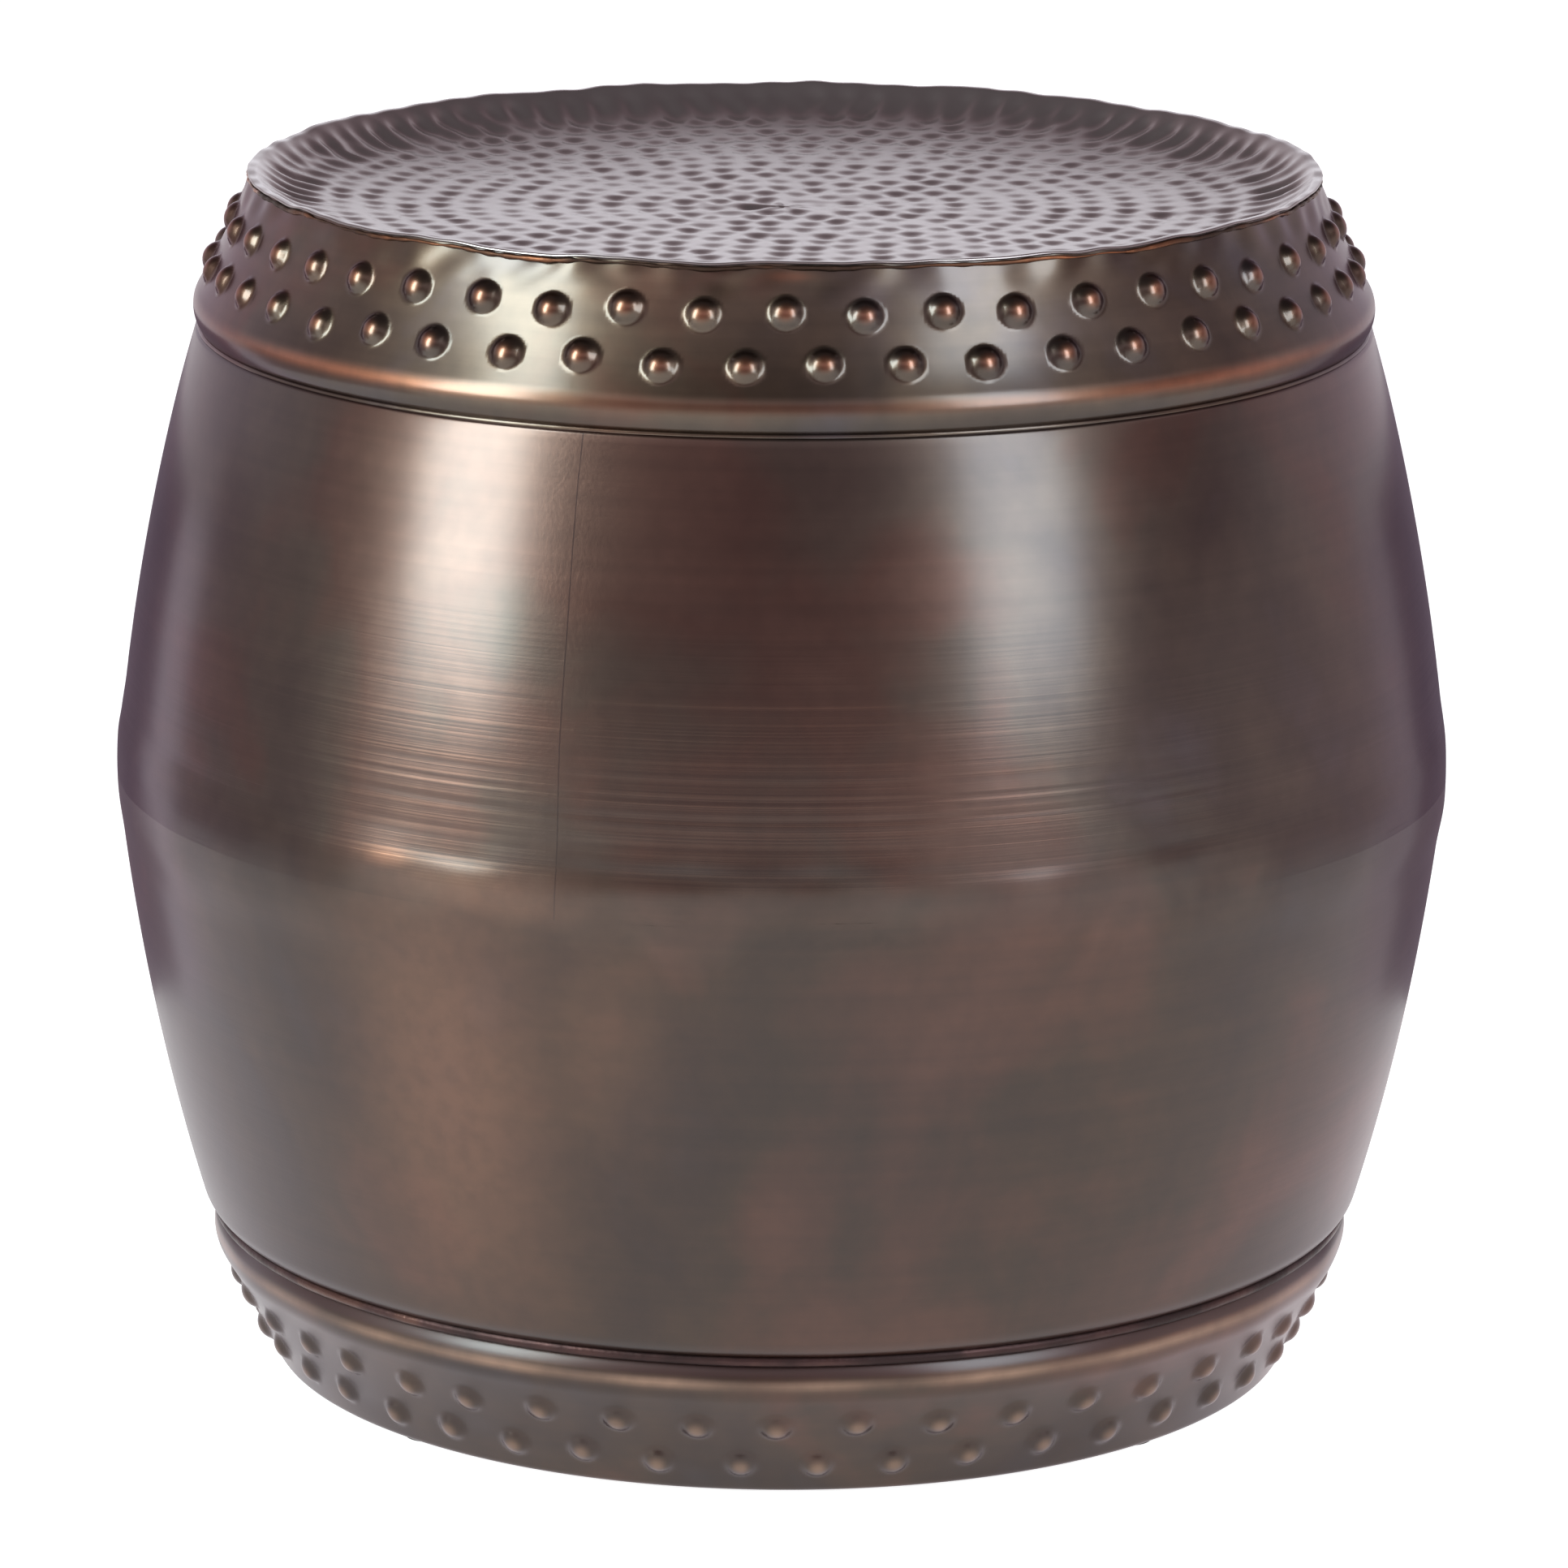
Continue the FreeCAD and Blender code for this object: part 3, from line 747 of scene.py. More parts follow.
@dataclass(frozen=True)
class PaintedSteel:
    """Black painted bar, dusty and rubbed."""

    name: str = "painted_steel"
    paint: str = "#23211f"
    film: str = "#332f2b"
    dust: str = "#5a4f45"
    tone_places: tuple[float, float, float] = (0.42, 0.56, 0.72)
    clean_roughness: float = 0.45
    dusty_roughness: float = 0.75
    dusting: Cloud = Cloud(35.0, 5.0, 0.3)
    dust_reach: Range = (0.4, 0.7)
    peel: Cloud = Cloud(700.0, 2.0)
    peel_depth: float = 0.0001

    def material(self) -> bpy.types.Material:
        """Makes the material.

        Returns:
            The material.
        """
        sheet = MaterialSheet(self.name)
        place = sheet.place()
        dusting = sheet.noise(place, self.dusting)
        return sheet.surface({
            "Base Color": sheet.ramp(dusting, zip(self.tone_places, (self.paint, self.film, self.dust))),
            "Roughness": sheet.spread(dusting, *self.dust_reach, self.clean_roughness, self.dusty_roughness),
            "Normal": sheet.bumped(sheet.noise(place, self.peel), self.peel_depth),
        })


@dataclass(frozen=True)
class Felt:
    """Dense brown wool felt."""

    name: str = "felt"
    dark: str = "#3a322c"
    light: str = "#6d6054"
    tone_places: tuple[float, float] = (0.35, 0.65)
    roughness: float = 0.95
    nap: float = 0.4
    fibres: Cloud = Cloud(900.0, 5.0, 1.5, (1.0, 1.0, 2.5))
    fibre_depth: float = 0.0004

    def material(self) -> bpy.types.Material:
        """Makes the material.

        Returns:
            The material.
        """
        sheet = MaterialSheet(self.name)
        fibres = sheet.noise(sheet.place(), self.fibres)
        return sheet.surface({
            "Base Color": sheet.ramp(fibres, zip(self.tone_places, (self.dark, self.light))),
            "Roughness": self.roughness,
            "Normal": sheet.bumped(fibres, self.fibre_depth),
            "Sheen Weight": self.nap,
        })


def dress(piece: bpy.types.Object, material: bpy.types.Material) -> None:
    """Gives a piece one material in place of any it has."""
    piece.data.materials.clear()
    piece.data.materials.append(material)


def seat(piece: bpy.types.Object, slot: str, *nodes: str) -> None:
    """Makes a piece ride on the table and stand for its nodes, which it hides.

    Args:
        piece: The dressed piece.
        slot: Name of the slot; not used.
        nodes: Names of the nodes.
    """
    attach(piece, BODY)
    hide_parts(*nodes)
    log.info("%s stands for %s: %d faces", piece.name, ", ".join(nodes), len(piece.data.polygons))


@dataclass(frozen=True)
class Rim:
    """The hand-cut top edge that the tray and the collar share, which dips below its true height."""

    deepest: float = 1.3
    reach: float = 16.0
    usual_share: float = 0.45
    slow_share: float = 0.24
    quick_share: float = 0.1
    slow: Unevenness = Unevenness(11, 5, 26, UPRIGHT)
    quick: Unevenness = Unevenness(12, 30, 75, UPRIGHT)

    def dip(self, turn: np.ndarray, below: float) -> np.ndarray:
        """Gives how far the edge is let down.

        Args:
            turn: The turns of a ring.
            below: How far the ring lies below the edge, along its sheet.

        Returns:
            The drop at each turn.
        """
        slow, quick = self.slow_share * self.slow.at(turn), self.quick_share * self.quick.at(turn)
        share = self.usual_share + slow + quick
        return self.deepest * np.clip(share, 0.0, 1.0) * (1.0 - smooth_step(below, 0.0, self.reach))


@dataclass(frozen=True)
class Belly:
    """The belly, ground to one soft crown by hand, that both shells and the weld share."""

    height: float = 214.184
    level: float = 235.42
    crown: float = 235.66
    round: float = 170.0
    upper_reach: Range = (6.0, 27.0)
    lower_reach: Range = (9.0, 27.0)
    dent: float = 0.07
    sway: float = 2.2
    dents: Unevenness = Unevenness(64, 5, 34, 40.0)
    wander: Unevenness = Unevenness(65, 1, 9, UPRIGHT)

    def radius(self, ring: Ring) -> np.ndarray:
        """Gives the crown's radius along one ring."""
        fall = (ring.height - self.height) ** 2 / (2 * self.round)
        return np.minimum(self.level - fall + self.dent * self.dents.at(ring.turn, ring.height), self.crown)

    def blend(self, ring: Ring, lift: np.ndarray) -> np.ndarray:
        """Eases a shell's lift into the crown.

        Args:
            ring: A ring of the shell.
            lift: The lift that the shell has of its own.

        Returns:
            The eased lift.
        """
        off = ring.height + self.sway * self.wander.at(ring.turn) - self.height
        near, far = self.upper_reach if ring.height > self.height else self.lower_reach
        share = smooth_step(np.abs(off), far, near)
        return lift * (1.0 - share) + (self.radius(ring) - ring.radius) * share

    def held(self, ring: Ring, lift: np.ndarray) -> np.ndarray:
        """Holds a shell's lift inside the crown."""
        return np.minimum(lift, self.crown - ring.radius)


@dataclass(frozen=True)
class Patch:
    """A patch of one mark: rubbing and soot at some places, painted highlights and painted shade at others;
    its middle, how far it spreads, and how strong it is.

    The middle and spread are in degrees from the front and in millimetres up the table.
    """

    mark: Mark
    compass: float
    height: float
    wide: float
    tall: float
    share: float

    def paint(self, ring: Ring) -> None:
        """Paints the patch on one ring.

        Args:
            ring: The ring.
        """
        aside = np.degrees(wrapped(ring.turn - FRONT - math.radians(self.compass))) / self.wide
        above = (ring.height - self.height) / self.tall
        ring.paint(self.mark, self.share * np.exp(-aside ** 2 - above ** 2))


@dataclass
class SpunSheet:
    """A thin sheet spun about the axis and finished by hand."""

    name: str
    slot: str
    finish: Patina
    gauge: float = 1.0
    columns: int = 576
    inner_share: int = 4
    open_middle: bool = True
    patches: tuple[Patch, ...] = ()

    def runs(self) -> list[Run]:
        """Gives the runs of the section's outer line."""
        raise NotImplementedError

    def turns(self, count: int, height: float) -> np.ndarray:
        """Spaces the points of a ring at a height."""
        return np.arange(count) * TURN / count

    def relief(self, ring: Ring) -> np.ndarray:
        """Paints what handwork leaves on one ring, and gives its lift along the outward normal."""
        raise NotImplementedError

    def dip(self, ring: Ring) -> Numbers:
        """Gives how far a ring is let down at each turn."""
        return 0.0

    def columns_at(self, radius: float, depth: float) -> int:
        """Gives the number of points of a ring, at a depth below the outer face."""
        return self.columns

    def ring(self, section: Section, row: int, depth: float) -> tuple[np.ndarray, np.ndarray]:
        """Shapes one ring of the sheet.

        Args:
            section: The sheet's section.
            row: Which row of it.
            depth: How far below the outer face.

        Returns:
            The ring's points and marks.
        """
        place, normal = section.points[row], section.normals[row]
        turn = self.turns(self.columns_at(place[0], depth), place[1])
        ring = Ring(turn, place, section.along[row])
        lift = self.relief(ring)
        for patch in self.patches:
            patch.paint(ring)
        radius = ring.radius + normal[0] * (lift - depth)
        height = ring.height + normal[1] * (lift - depth) - self.dip(ring)
        return np.stack([radius * np.cos(turn), radius * np.sin(turn), height], axis=1), ring.marks

    def build(self) -> bpy.types.Object:
        """Builds both faces of the sheet and the edges between them.

        Returns:
            The dressed piece.
        """
        section = Section(self.runs())
        stack = RingStack()
        outer, inner = range(len(section.points)), section.thinned(self.inner_share)[::-1]
        if not self.open_middle:
            outer, inner = outer[::-1], inner[::-1]
        for rows, depth in ((outer, 0.0), (inner, self.gauge)):
            for row in rows:
                stack.add(*self.ring(section, row, depth))
        piece = stack.piece(self.name + "_dressed", looped=self.open_middle)
        piece.data.set_sharp_from_angle(angle=SHARP)
        dress(piece, self.finish.material())
        seat(piece, self.slot, self.name)
        return piece


@dataclass(frozen=True)
class BossRow:
    """One row of bosses punched by eye into a band."""

    count: int
    first: float
    height: float
    seat_radius: float
    across: float
    proud: float
    fillet: float
    seed: int
    stray: float = 1.1
    weakest: float = 0.88
    steepest: float = 1.15

    @cached_property
    def centres(self) -> tuple[np.ndarray, np.ndarray, np.ndarray]:
        """Draws the bosses.

        Returns:
            Each one's turn, height and own share of the rise.
        """
        draw = np.random.default_rng(self.seed)
        turn = self.first + np.arange(self.count) * TURN / self.count
        turn = turn + draw.uniform(-self.stray, self.stray, self.count) / self.seat_radius
        height = self.height + draw.uniform(-self.stray, self.stray, self.count)
        return turn, height, draw.uniform(self.weakest, 1.0, self.count)

    def gathered(self, turn: np.ndarray, share: float) -> np.ndarray:
        """Draws a ring's points towards the bosses."""
        return turn - share / self.count * np.sin(self.count * (turn - self.first))

    def relief(self, ring: Ring) -> tuple[np.ndarray, np.ndarray]:
        """Gives the row's rise along one ring.

        Args:
            ring: The ring.

        Returns:
            The rise, and each point's distance from the nearest boss as a share of the boss's radius.
        """
        centre_turn, centre_height, rise = self.centres
        nearest = np.rint((ring.turn - self.first) * self.count / TURN).astype(int) % self.count
        side = wrapped(ring.turn - centre_turn[nearest])
        slope = math.hypot(1.0, (ring.radius - self.seat_radius) / max(1.0, abs(ring.height - self.height)))
        up = (ring.height - centre_height[nearest]) * min(slope, self.steepest)
        share = np.hypot(side * self.seat_radius, up) * 2 / self.across
        half = self.across / 2
        ball = (half ** 2 + self.proud ** 2) / (2 * self.proud)
        cap = np.sqrt(np.maximum(ball ** 2 - (share * half) ** 2, 0.0)) - (ball - self.proud)
        lift = (cap + np.sqrt(cap ** 2 + self.fillet ** 2)) / 2
        return lift * rise[nearest], share


@dataclass
class BossedBand(SpunSheet):
    """A band with two staggered rows of bosses, rubbed on their tips and dark round their feet."""

    columns: int = 1012
    boss_count: int = 46
    boss_across: float = 10.9
    boss_proud: float = 3.6
    boss_fillet: float = 1.25
    boss_seed: int = 21
    rows_height: float = 401.0
    row_gap: float = 15.4
    gather: float = 0.45
    tip_wear: float = 0.55
    tip_reach: Range = (0.75, 0.1)
    base_soot: float = 0.08
    base_reach: float = 0.22

    def wall(self) -> Run:
        """Gives the run of the hollow wall that carries the bosses, from low to high."""
        raise NotImplementedError

    def wall_radius(self, height: float) -> float:
        """Gives the wall's radius at a height."""
        points = self.wall().points()
        return float(np.interp(height, points[:, 1], points[:, 0]))

    @cached_property
    def rows(self) -> list[BossRow]:
        """Sets out the rows.

        Returns:
            The upper row, which has a boss at the front, and the lower one, half a pitch on.
        """
        made = []
        for number, (side, first) in enumerate(((1, FRONT), (-1, FRONT + math.pi / self.boss_count))):
            height = self.rows_height + side * self.row_gap / 2
            made.append(BossRow(
                count=self.boss_count, first=first, height=height, seat_radius=self.wall_radius(height),
                across=self.boss_across, proud=self.boss_proud, fillet=self.boss_fillet,
                seed=self.boss_seed + number,
            ))
        return made

    def turns(self, count: int, height: float) -> np.ndarray:
        """Spaces a ring's points closer where the nearer row's bosses stand.

        Args:
            count: How many points it has.
            height: Its height.

        Returns:
            The points' turns.
        """
        turn = super().turns(count, height)
        upper, lower = self.rows
        if height < lower.height - self.row_gap or height > upper.height + self.row_gap:
            return turn
        share = smooth_step(height, lower.height, upper.height)
        return upper.gathered(turn, self.gather) * share + lower.gathered(turn, self.gather) * (1.0 - share)

    def bosses(self, ring: Ring) -> np.ndarray:
        """Paints both rows of bosses on one ring.

        Args:
            ring: The ring.

        Returns:
            Their rise at each turn.
        """
        lift = np.zeros_like(ring.turn)
        for row in self.rows:
            rise, share = row.relief(ring)
            lift = np.maximum(lift, rise)
            ring.paint(Mark.WORN, self.tip_wear * smooth_step(share, *self.tip_reach))
            ring.paint(Mark.SUNK, self.base_soot * hill(share, 1.0, self.base_reach))
        return lift


@dataclass
class Collar(BossedBand):
    """Spigot, bead, and a hollow wall with two rows of domed bosses up to the tray."""

    rim: Rim = Rim()
    top: Place = (186.1, 424.764)
    wall_low: Place = (204.824, 384.04)
    spigot: Place = (201.9, 369.49)
    spigot_length: float = 12.5
    bead_curve: float = 11.0
    wall_sweep: float = 200.0
    wall_step: float = 0.88
    crest_height: float = 380.4
    crest_spread: float = 2.0
    crest_wear: float = 0.2
    dent: float = 0.12
    dent_start: Range = (14.0, 40.0)
    pinch: float = 0.28
    pinch_reach: Range = (14.0, 3.0)
    pinch_sink: float = 0.15
    slow: Unevenness = Unevenness(31, 3, 22, 60.0)
    quick: Unevenness = Unevenness(32, 18, 70, 24.0)
    patches: tuple[Patch, ...] = (
        Patch(Mark.WORN, -47.0, 380.6, 19.0, 2.0, 0.85),
        Patch(Mark.WORN, 45.0, 380.6, 18.0, 2.0, 0.75),
        Patch(Mark.WORN, 150.0, 380.6, 30.0, 2.0, 0.6),
        Patch(Mark.WORN, 0.5, 421.0, 2.2, 1.6, 0.35),
        Patch(Mark.SUNK, 8.5, 390.0, 1.3, 8.0, 0.35),
        # A ring of painted shade under the bead.
        Patch(Mark.SUNK, 0.0, 374.3, 400.0, 2.6, 0.35),
    )

    def wall(self) -> Run:
        """Gives the hollow wall."""
        return Run(self.wall_low, self.top, self.wall_step, -self.wall_sweep)

    def runs(self) -> list[Run]:
        """Gives the spigot, the bead and the wall.

        Returns:
            The runs, in that order.
        """
        spigot_low = (self.spigot[0], self.spigot[1] - self.spigot_length)
        bead = Run(self.spigot, self.wall_low, 1.0, self.bead_curve)
        return [Run(spigot_low, self.spigot, 3.0), bead, self.wall()]

    @cached_property
    def length(self) -> float:
        """Measures the band along its section."""
        return float(Section(self.runs()).along[-1])

    def dip(self, ring: Ring) -> np.ndarray:
        """Lets the top edge down with the tray's."""
        return self.rim.dip(ring.turn, self.length - ring.along)

    def relief(self, ring: Ring) -> np.ndarray:
        """Adds the bosses, soft dents, and pinches under the rim, and rubs the bead's crest.

        Args:
            ring: The ring.

        Returns:
            Its lift along the outward normal.
        """
        lift = self.bosses(ring)
        start, end = self.pinch_reach
        near_rim = smooth_step(ring.height, self.top[1] - start, self.top[1] - end)
        dents = self.dent * self.slow.at(ring.turn, ring.height) * smooth_step(ring.along, *self.dent_start)
        pinches = self.pinch * near_rim * self.quick.at(ring.turn, ring.height)
        ring.paint(Mark.WORN, self.crest_wear * hill(ring.height, self.crest_height, self.crest_spread))
        return lift + dents + pinches - self.pinch_sink * near_rim


@dataclass
class FootBand(BossedBand):
    """Turned-in flange, hollow wall with two rows of soft bosses, bead and spigot."""

    boss_count: int = 44
    boss_across: float = 10.8
    boss_proud: float = 2.9
    boss_fillet: float = 0.75
    boss_seed: int = 25
    rows_height: float = 20.565
    row_gap: float = 15.5
    tip_wear: float = 0.45
    base_soot: float = 0.15
    flange_inner: Place = (162.6, 1.2)
    flange_outer: Place = (180.6, 1.2)
    wall_low: Place = (182.463, 2.471)
    wall_high: Place = (201.06, 38.658)
    spigot: Place = (200.3, 52.784)
    spigot_length: float = 14.0
    corner_curve: float = 2.0
    bead_curve: float = 12.0
    wall_sweep: float = 200.0
    wall_step: float = 0.85
    wall_start: Range = (4.0, 14.0)
    wall_end: Range = (60.0, 46.0)
    dent: float = 0.14
    sink: float = 0.1
    crest_height: float = 45.4
    crest_spread: float = 1.8
    crest_wear: float = 0.5
    crest_change: float = 0.15
    crest_most: float = 0.8
    groove: Range = (47.6, 49.0)
    groove_soot: float = 0.8
    slow: Unevenness = Unevenness(41, 3, 24, 50.0)
    patches: tuple[Patch, ...] = (Patch(Mark.WORN, -25.0, 51.0, 8.0, 2.5, 0.4),)

    def wall(self) -> Run:
        """Gives the hollow wall."""
        return Run(self.wall_low, self.wall_high, self.wall_step, -self.wall_sweep)

    def runs(self) -> list[Run]:
        """Gives the flange, the corner, the wall, the bead and the spigot.

        Returns:
            The runs, in that order.
        """
        spigot_top = (self.spigot[0], self.spigot[1] + self.spigot_length)
        return [
            Run(self.flange_inner, self.flange_outer, 3.0),
            Run(self.flange_outer, self.wall_low, 0.8, self.corner_curve),
            self.wall(),
            Run(self.wall_high, self.spigot, 1.2, self.bead_curve),
            Run(self.spigot, spigot_top, 3.5),
        ]

    def relief(self, ring: Ring) -> np.ndarray:
        """Adds the bosses and soft dents, rubs the bead's crest and paints shade in the groove above it.

        Args:
            ring: The ring.

        Returns:
            Its lift along the outward normal.
        """
        lift = self.bosses(ring)
        on_wall = smooth_step(ring.height, *self.wall_start) * smooth_step(ring.height, *self.wall_end)
        dents = self.dent * on_wall * self.slow.at(ring.turn, ring.height)
        rubbed = np.clip(self.crest_wear + self.crest_change * self.slow.at(ring.turn), 0.0, self.crest_most)
        ring.paint(Mark.WORN, hill(ring.height, self.crest_height, self.crest_spread) * rubbed)
        # Painted shade in the groove under the lower shell's turned end.
        ring.paint(Mark.SUNK, self.groove_soot * smooth_step(ring.height, *self.groove))
        return lift + dents - self.sink * on_wall


@dataclass(frozen=True)
class Blow:
    """A stray hammer blow or a stain on the tray, placed in plan, with its depth or its share."""

    side: float
    back: float
    radius: float
    depth: float

    def at(self, ring: Ring) -> np.ndarray:
        """Gives its depth along a ring."""
        side, back = ring.radius * np.cos(ring.turn), ring.radius * np.sin(ring.turn)
        return self.depth * bowl(np.hypot(side - self.side, back - self.back) / self.radius)


@dataclass(frozen=True)
class MarkRow:
    """One round of hammer marks struck by eye, each an oval bowl."""

    number: int
    centre: float
    count: int
    reach: float
    half_width: float
    depth: float
    first_seed: int = 500
    stray_round: float = 0.13
    stray_out: float = 1.1
    weakest: float = 0.55
    strongest: float = 1.25

    @cached_property
    def drawn(self) -> tuple[float, np.ndarray, np.ndarray, np.ndarray]:
        """Draws the marks.

        Returns:
            The row's first turn, and each mark's stray round it, its stray outwards and its strength.
        """
        draw = np.random.default_rng(self.first_seed + self.number)
        first = draw.uniform(0.0, TURN)
        aside = draw.uniform(-self.stray_round, self.stray_round, self.count) * TURN / self.count
        out = draw.uniform(-self.stray_out, self.stray_out, self.count)
        return first, aside, out, draw.uniform(self.weakest, self.strongest, self.count)

    def meets(self, ring: Ring) -> bool:
        """Tells whether any of its marks may reach a ring."""
        return abs(ring.radius - self.centre) < self.reach + self.stray_out

    def at(self, ring: Ring) -> np.ndarray:
        """Gives the marks' depth along a ring.

        Args:
            ring: The ring.

        Returns:
            The depth at each turn.
        """
        first, aside, out, strength = self.drawn
        nearest = np.rint((ring.turn - first) * self.count / TURN).astype(int) % self.count
        side = wrapped(ring.turn - (first + nearest * TURN / self.count + aside[nearest])) * self.centre
        off = np.hypot(side / self.half_width, (ring.radius - self.centre - out[nearest]) / self.reach)
        return self.depth * strength[nearest] * bowl(off)


@dataclass
class Tray(SpunSheet):
    """The dished tray: rings of hammer marks, long flutes up its wall and a wavy lip."""

    gauge: float = 1.2
    columns: int = 768
    inner_share: int = 3
    open_middle: bool = False
    under_share: int = 2
    fewest_columns: int = 12
    tip_radius: float = 0.2
    rim: Rim = Rim()
    lip_edge: Place = (187.3, 425.364)
    lip_round: Place = (186.7, 425.964)
    lip: Place = (185.3, 425.964)
    wall_high: Place = (183.544, 425.396)
    wall_low: Place = (145.3, 412.564)
    middle: Place = (0.0, 410.964)
    edge_curve: float = 0.6
    lip_curve: float = 3.0
    wall_curve: float = 67.876
    floor_curve: float = 6598.0
    mark_pitch: float = 12.0
    mark_rings: int = 14
    mark_radius: float = 6.0
    mark_depth: float = 0.92
    fewest_marks: int = 5
    wall_mark_reach: float = 9.5
    wall_mark_depth: float = 1.5
    flute_radius: float = 177.5
    flute_count: int = 98
    flute_reach: float = 9.0
    flute_half_width: float = 5.4
    flute_depth: float = 1.2
    full_radius: float = 150.0
    full_reach: float = 12.0
    full_height: float = 0.9
    slack_radius: float = 174.0
    slack_reach: float = 8.0
    slack_depth: float = 1.0
    calm_reach: Range = (2.5, 12.0)
    soot_share: float = 0.25
    soot_most: float = 0.4
    sway_height: float = 0.25
    sway_lean: float = 0.4
    slow: Unevenness = Unevenness(51, 1, 7, 120.0)
    blows: tuple[Blow, ...] = (
        Blow(-30.0, -18.0, 13.0, 0.7),
        Blow(-8.0, -62.0, 8.0, 0.5),
        Blow(14.0, -60.0, 8.0, 0.5),
        Blow(132.0, -24.0, 10.0, 0.7),
        Blow(148.0, -20.0, 9.0, 0.6),
        Blow(-12.0, -4.0, 8.0, 0.5),
    )
    stains: tuple[Blow, ...] = (
        Blow(8.0, 74.0, 26.0, 0.3),
        Blow(36.0, 62.0, 28.0, 0.35),
        Blow(64.0, 36.0, 24.0, 0.3),
        Blow(-28.0, -16.0, 22.0, 0.35),
        Blow(10.0, -50.0, 26.0, 0.2),
    )

    def runs(self) -> list[Run]:
        """Gives the lip, the wall and the floor, from the lip's edge to the middle.

        Returns:
            The runs, in that order.
        """
        return [
            Run(self.lip_edge, self.lip_round, 0.3, self.edge_curve),
            Run(self.lip_round, self.lip, 0.7),
            Run(self.lip, self.wall_high, 0.5, self.lip_curve),
            Run(self.wall_high, self.wall_low, 1.25, -self.wall_curve),
            Run(self.wall_low, self.middle, 1.3, -self.floor_curve),
        ]

    def columns_at(self, radius: float, depth: float) -> int:
        """Halves a ring's points each time its radius halves, and once more on the underside.

        Args:
            radius: The ring's radius.
            depth: How far it lies below the upper face.

        Returns:
            The number of its points, which is 1 in the middle.
        """
        count, reach = self.columns // (self.under_share if depth else 1), self.lip_edge[0] / 2
        while radius < reach and count > self.fewest_columns:
            count, reach = count // 2, reach / 2
        return 1 if radius < self.tip_radius else count

    def dip(self, ring: Ring) -> np.ndarray:
        """Lets the lip down with the collar's edge."""
        return self.rim.dip(ring.turn, ring.along)

    @cached_property
    def mark_rows(self) -> list[MarkRow]:
        """Sets out the hammer marks.

        Returns:
            The rounds on the floor, the one at the foot of the wall, and the flutes.
        """
        rows = []
        for number in range(1, self.mark_rings + 1):
            centre = number * self.mark_pitch
            count = max(self.fewest_marks, round(TURN * centre / self.mark_pitch))
            reach, depth = self.mark_radius, self.mark_depth
            if number == self.mark_rings:
                reach, depth = self.wall_mark_reach, self.wall_mark_depth
            rows.append(MarkRow(number, centre, count, reach, self.mark_radius, depth))
        rows.append(MarkRow(
            self.mark_rings + 1, self.flute_radius, self.flute_count, self.flute_reach,
            self.flute_half_width, self.flute_depth,
        ))
        return rows

    def relief(self, ring: Ring) -> np.ndarray:
        """Sinks the hammer marks, the flutes and the stray blows, and slackens the wall's curve.

        Args:
            ring: The ring.

        Returns:
            Its lift along the outward normal.
        """
        sunk = np.zeros_like(ring.turn)
        for row in self.mark_rows:
            if row.meets(ring):
                sunk += row.at(ring)
        for blow in self.blows:
            sunk += blow.at(ring)
        calm = smooth_step(ring.along, *self.calm_reach)
        ring.paint(Mark.SUNK, np.clip(self.soot_share * sunk / self.mark_depth, 0.0, self.soot_most) * calm)
        ring.paint(Mark.WORN, sum(stain.at(ring) for stain in self.stains))
        sway = self.sway_height * calm * self.slow.at(ring.turn, self.sway_lean * ring.radius)
        full = self.full_height * hill(ring.radius, self.full_radius, self.full_reach)
        slack = self.slack_depth * hill(ring.radius, self.slack_radius, self.slack_reach)
        return sway + full - slack - sunk * calm


# Patches at the belly, which both shells and the weld carry. The soot-and-shade ones are painted shade along
# the fold's crease and on spots beside it; the wear-and-sheen ones lay the copper tone on two spots.
BELLY_PATCHES = (
    Patch(Mark.WORN, -33.8, 227.0, 2.4, 3.5, 0.45),
    Patch(Mark.WORN, -25.0, 218.0, 9.0, 10.0, 0.22),
    Patch(Mark.SUNK, 24.0, 228.0, 9.0, 15.0, 0.32),
    Patch(Mark.SUNK, -52.0, 220.0, 9.0, 7.0, 0.25),
    Patch(Mark.SUNK, -5.0, 232.0, 26.0, 2.4, 0.3),
)


@dataclass
class BellyWeld(SpunSheet):
    """The weld between the shells, ground flush with their crown."""

    gauge: float = 1.2
    inner_share: int = 2
    half_height: float = 1.35
    patches: tuple[Patch, ...] = BELLY_PATCHES
    belt: Belly = Belly()

    def runs(self) -> list[Run]:
        """Gives the weld's outer face."""
        low, high = self.belt.height - self.half_height, self.belt.height + self.half_height
        return [Run((self.belt.level, low), (self.belt.level, high), 0.3)]

    def relief(self, ring: Ring) -> np.ndarray:
        """Follows the ground crown."""
        return self.belt.radius(ring) - ring.radius


@dataclass(frozen=True)
class TurningLine:
    """A shallow groove that the forming roller left round a shell."""

    height: float
    width: float
    depth: float


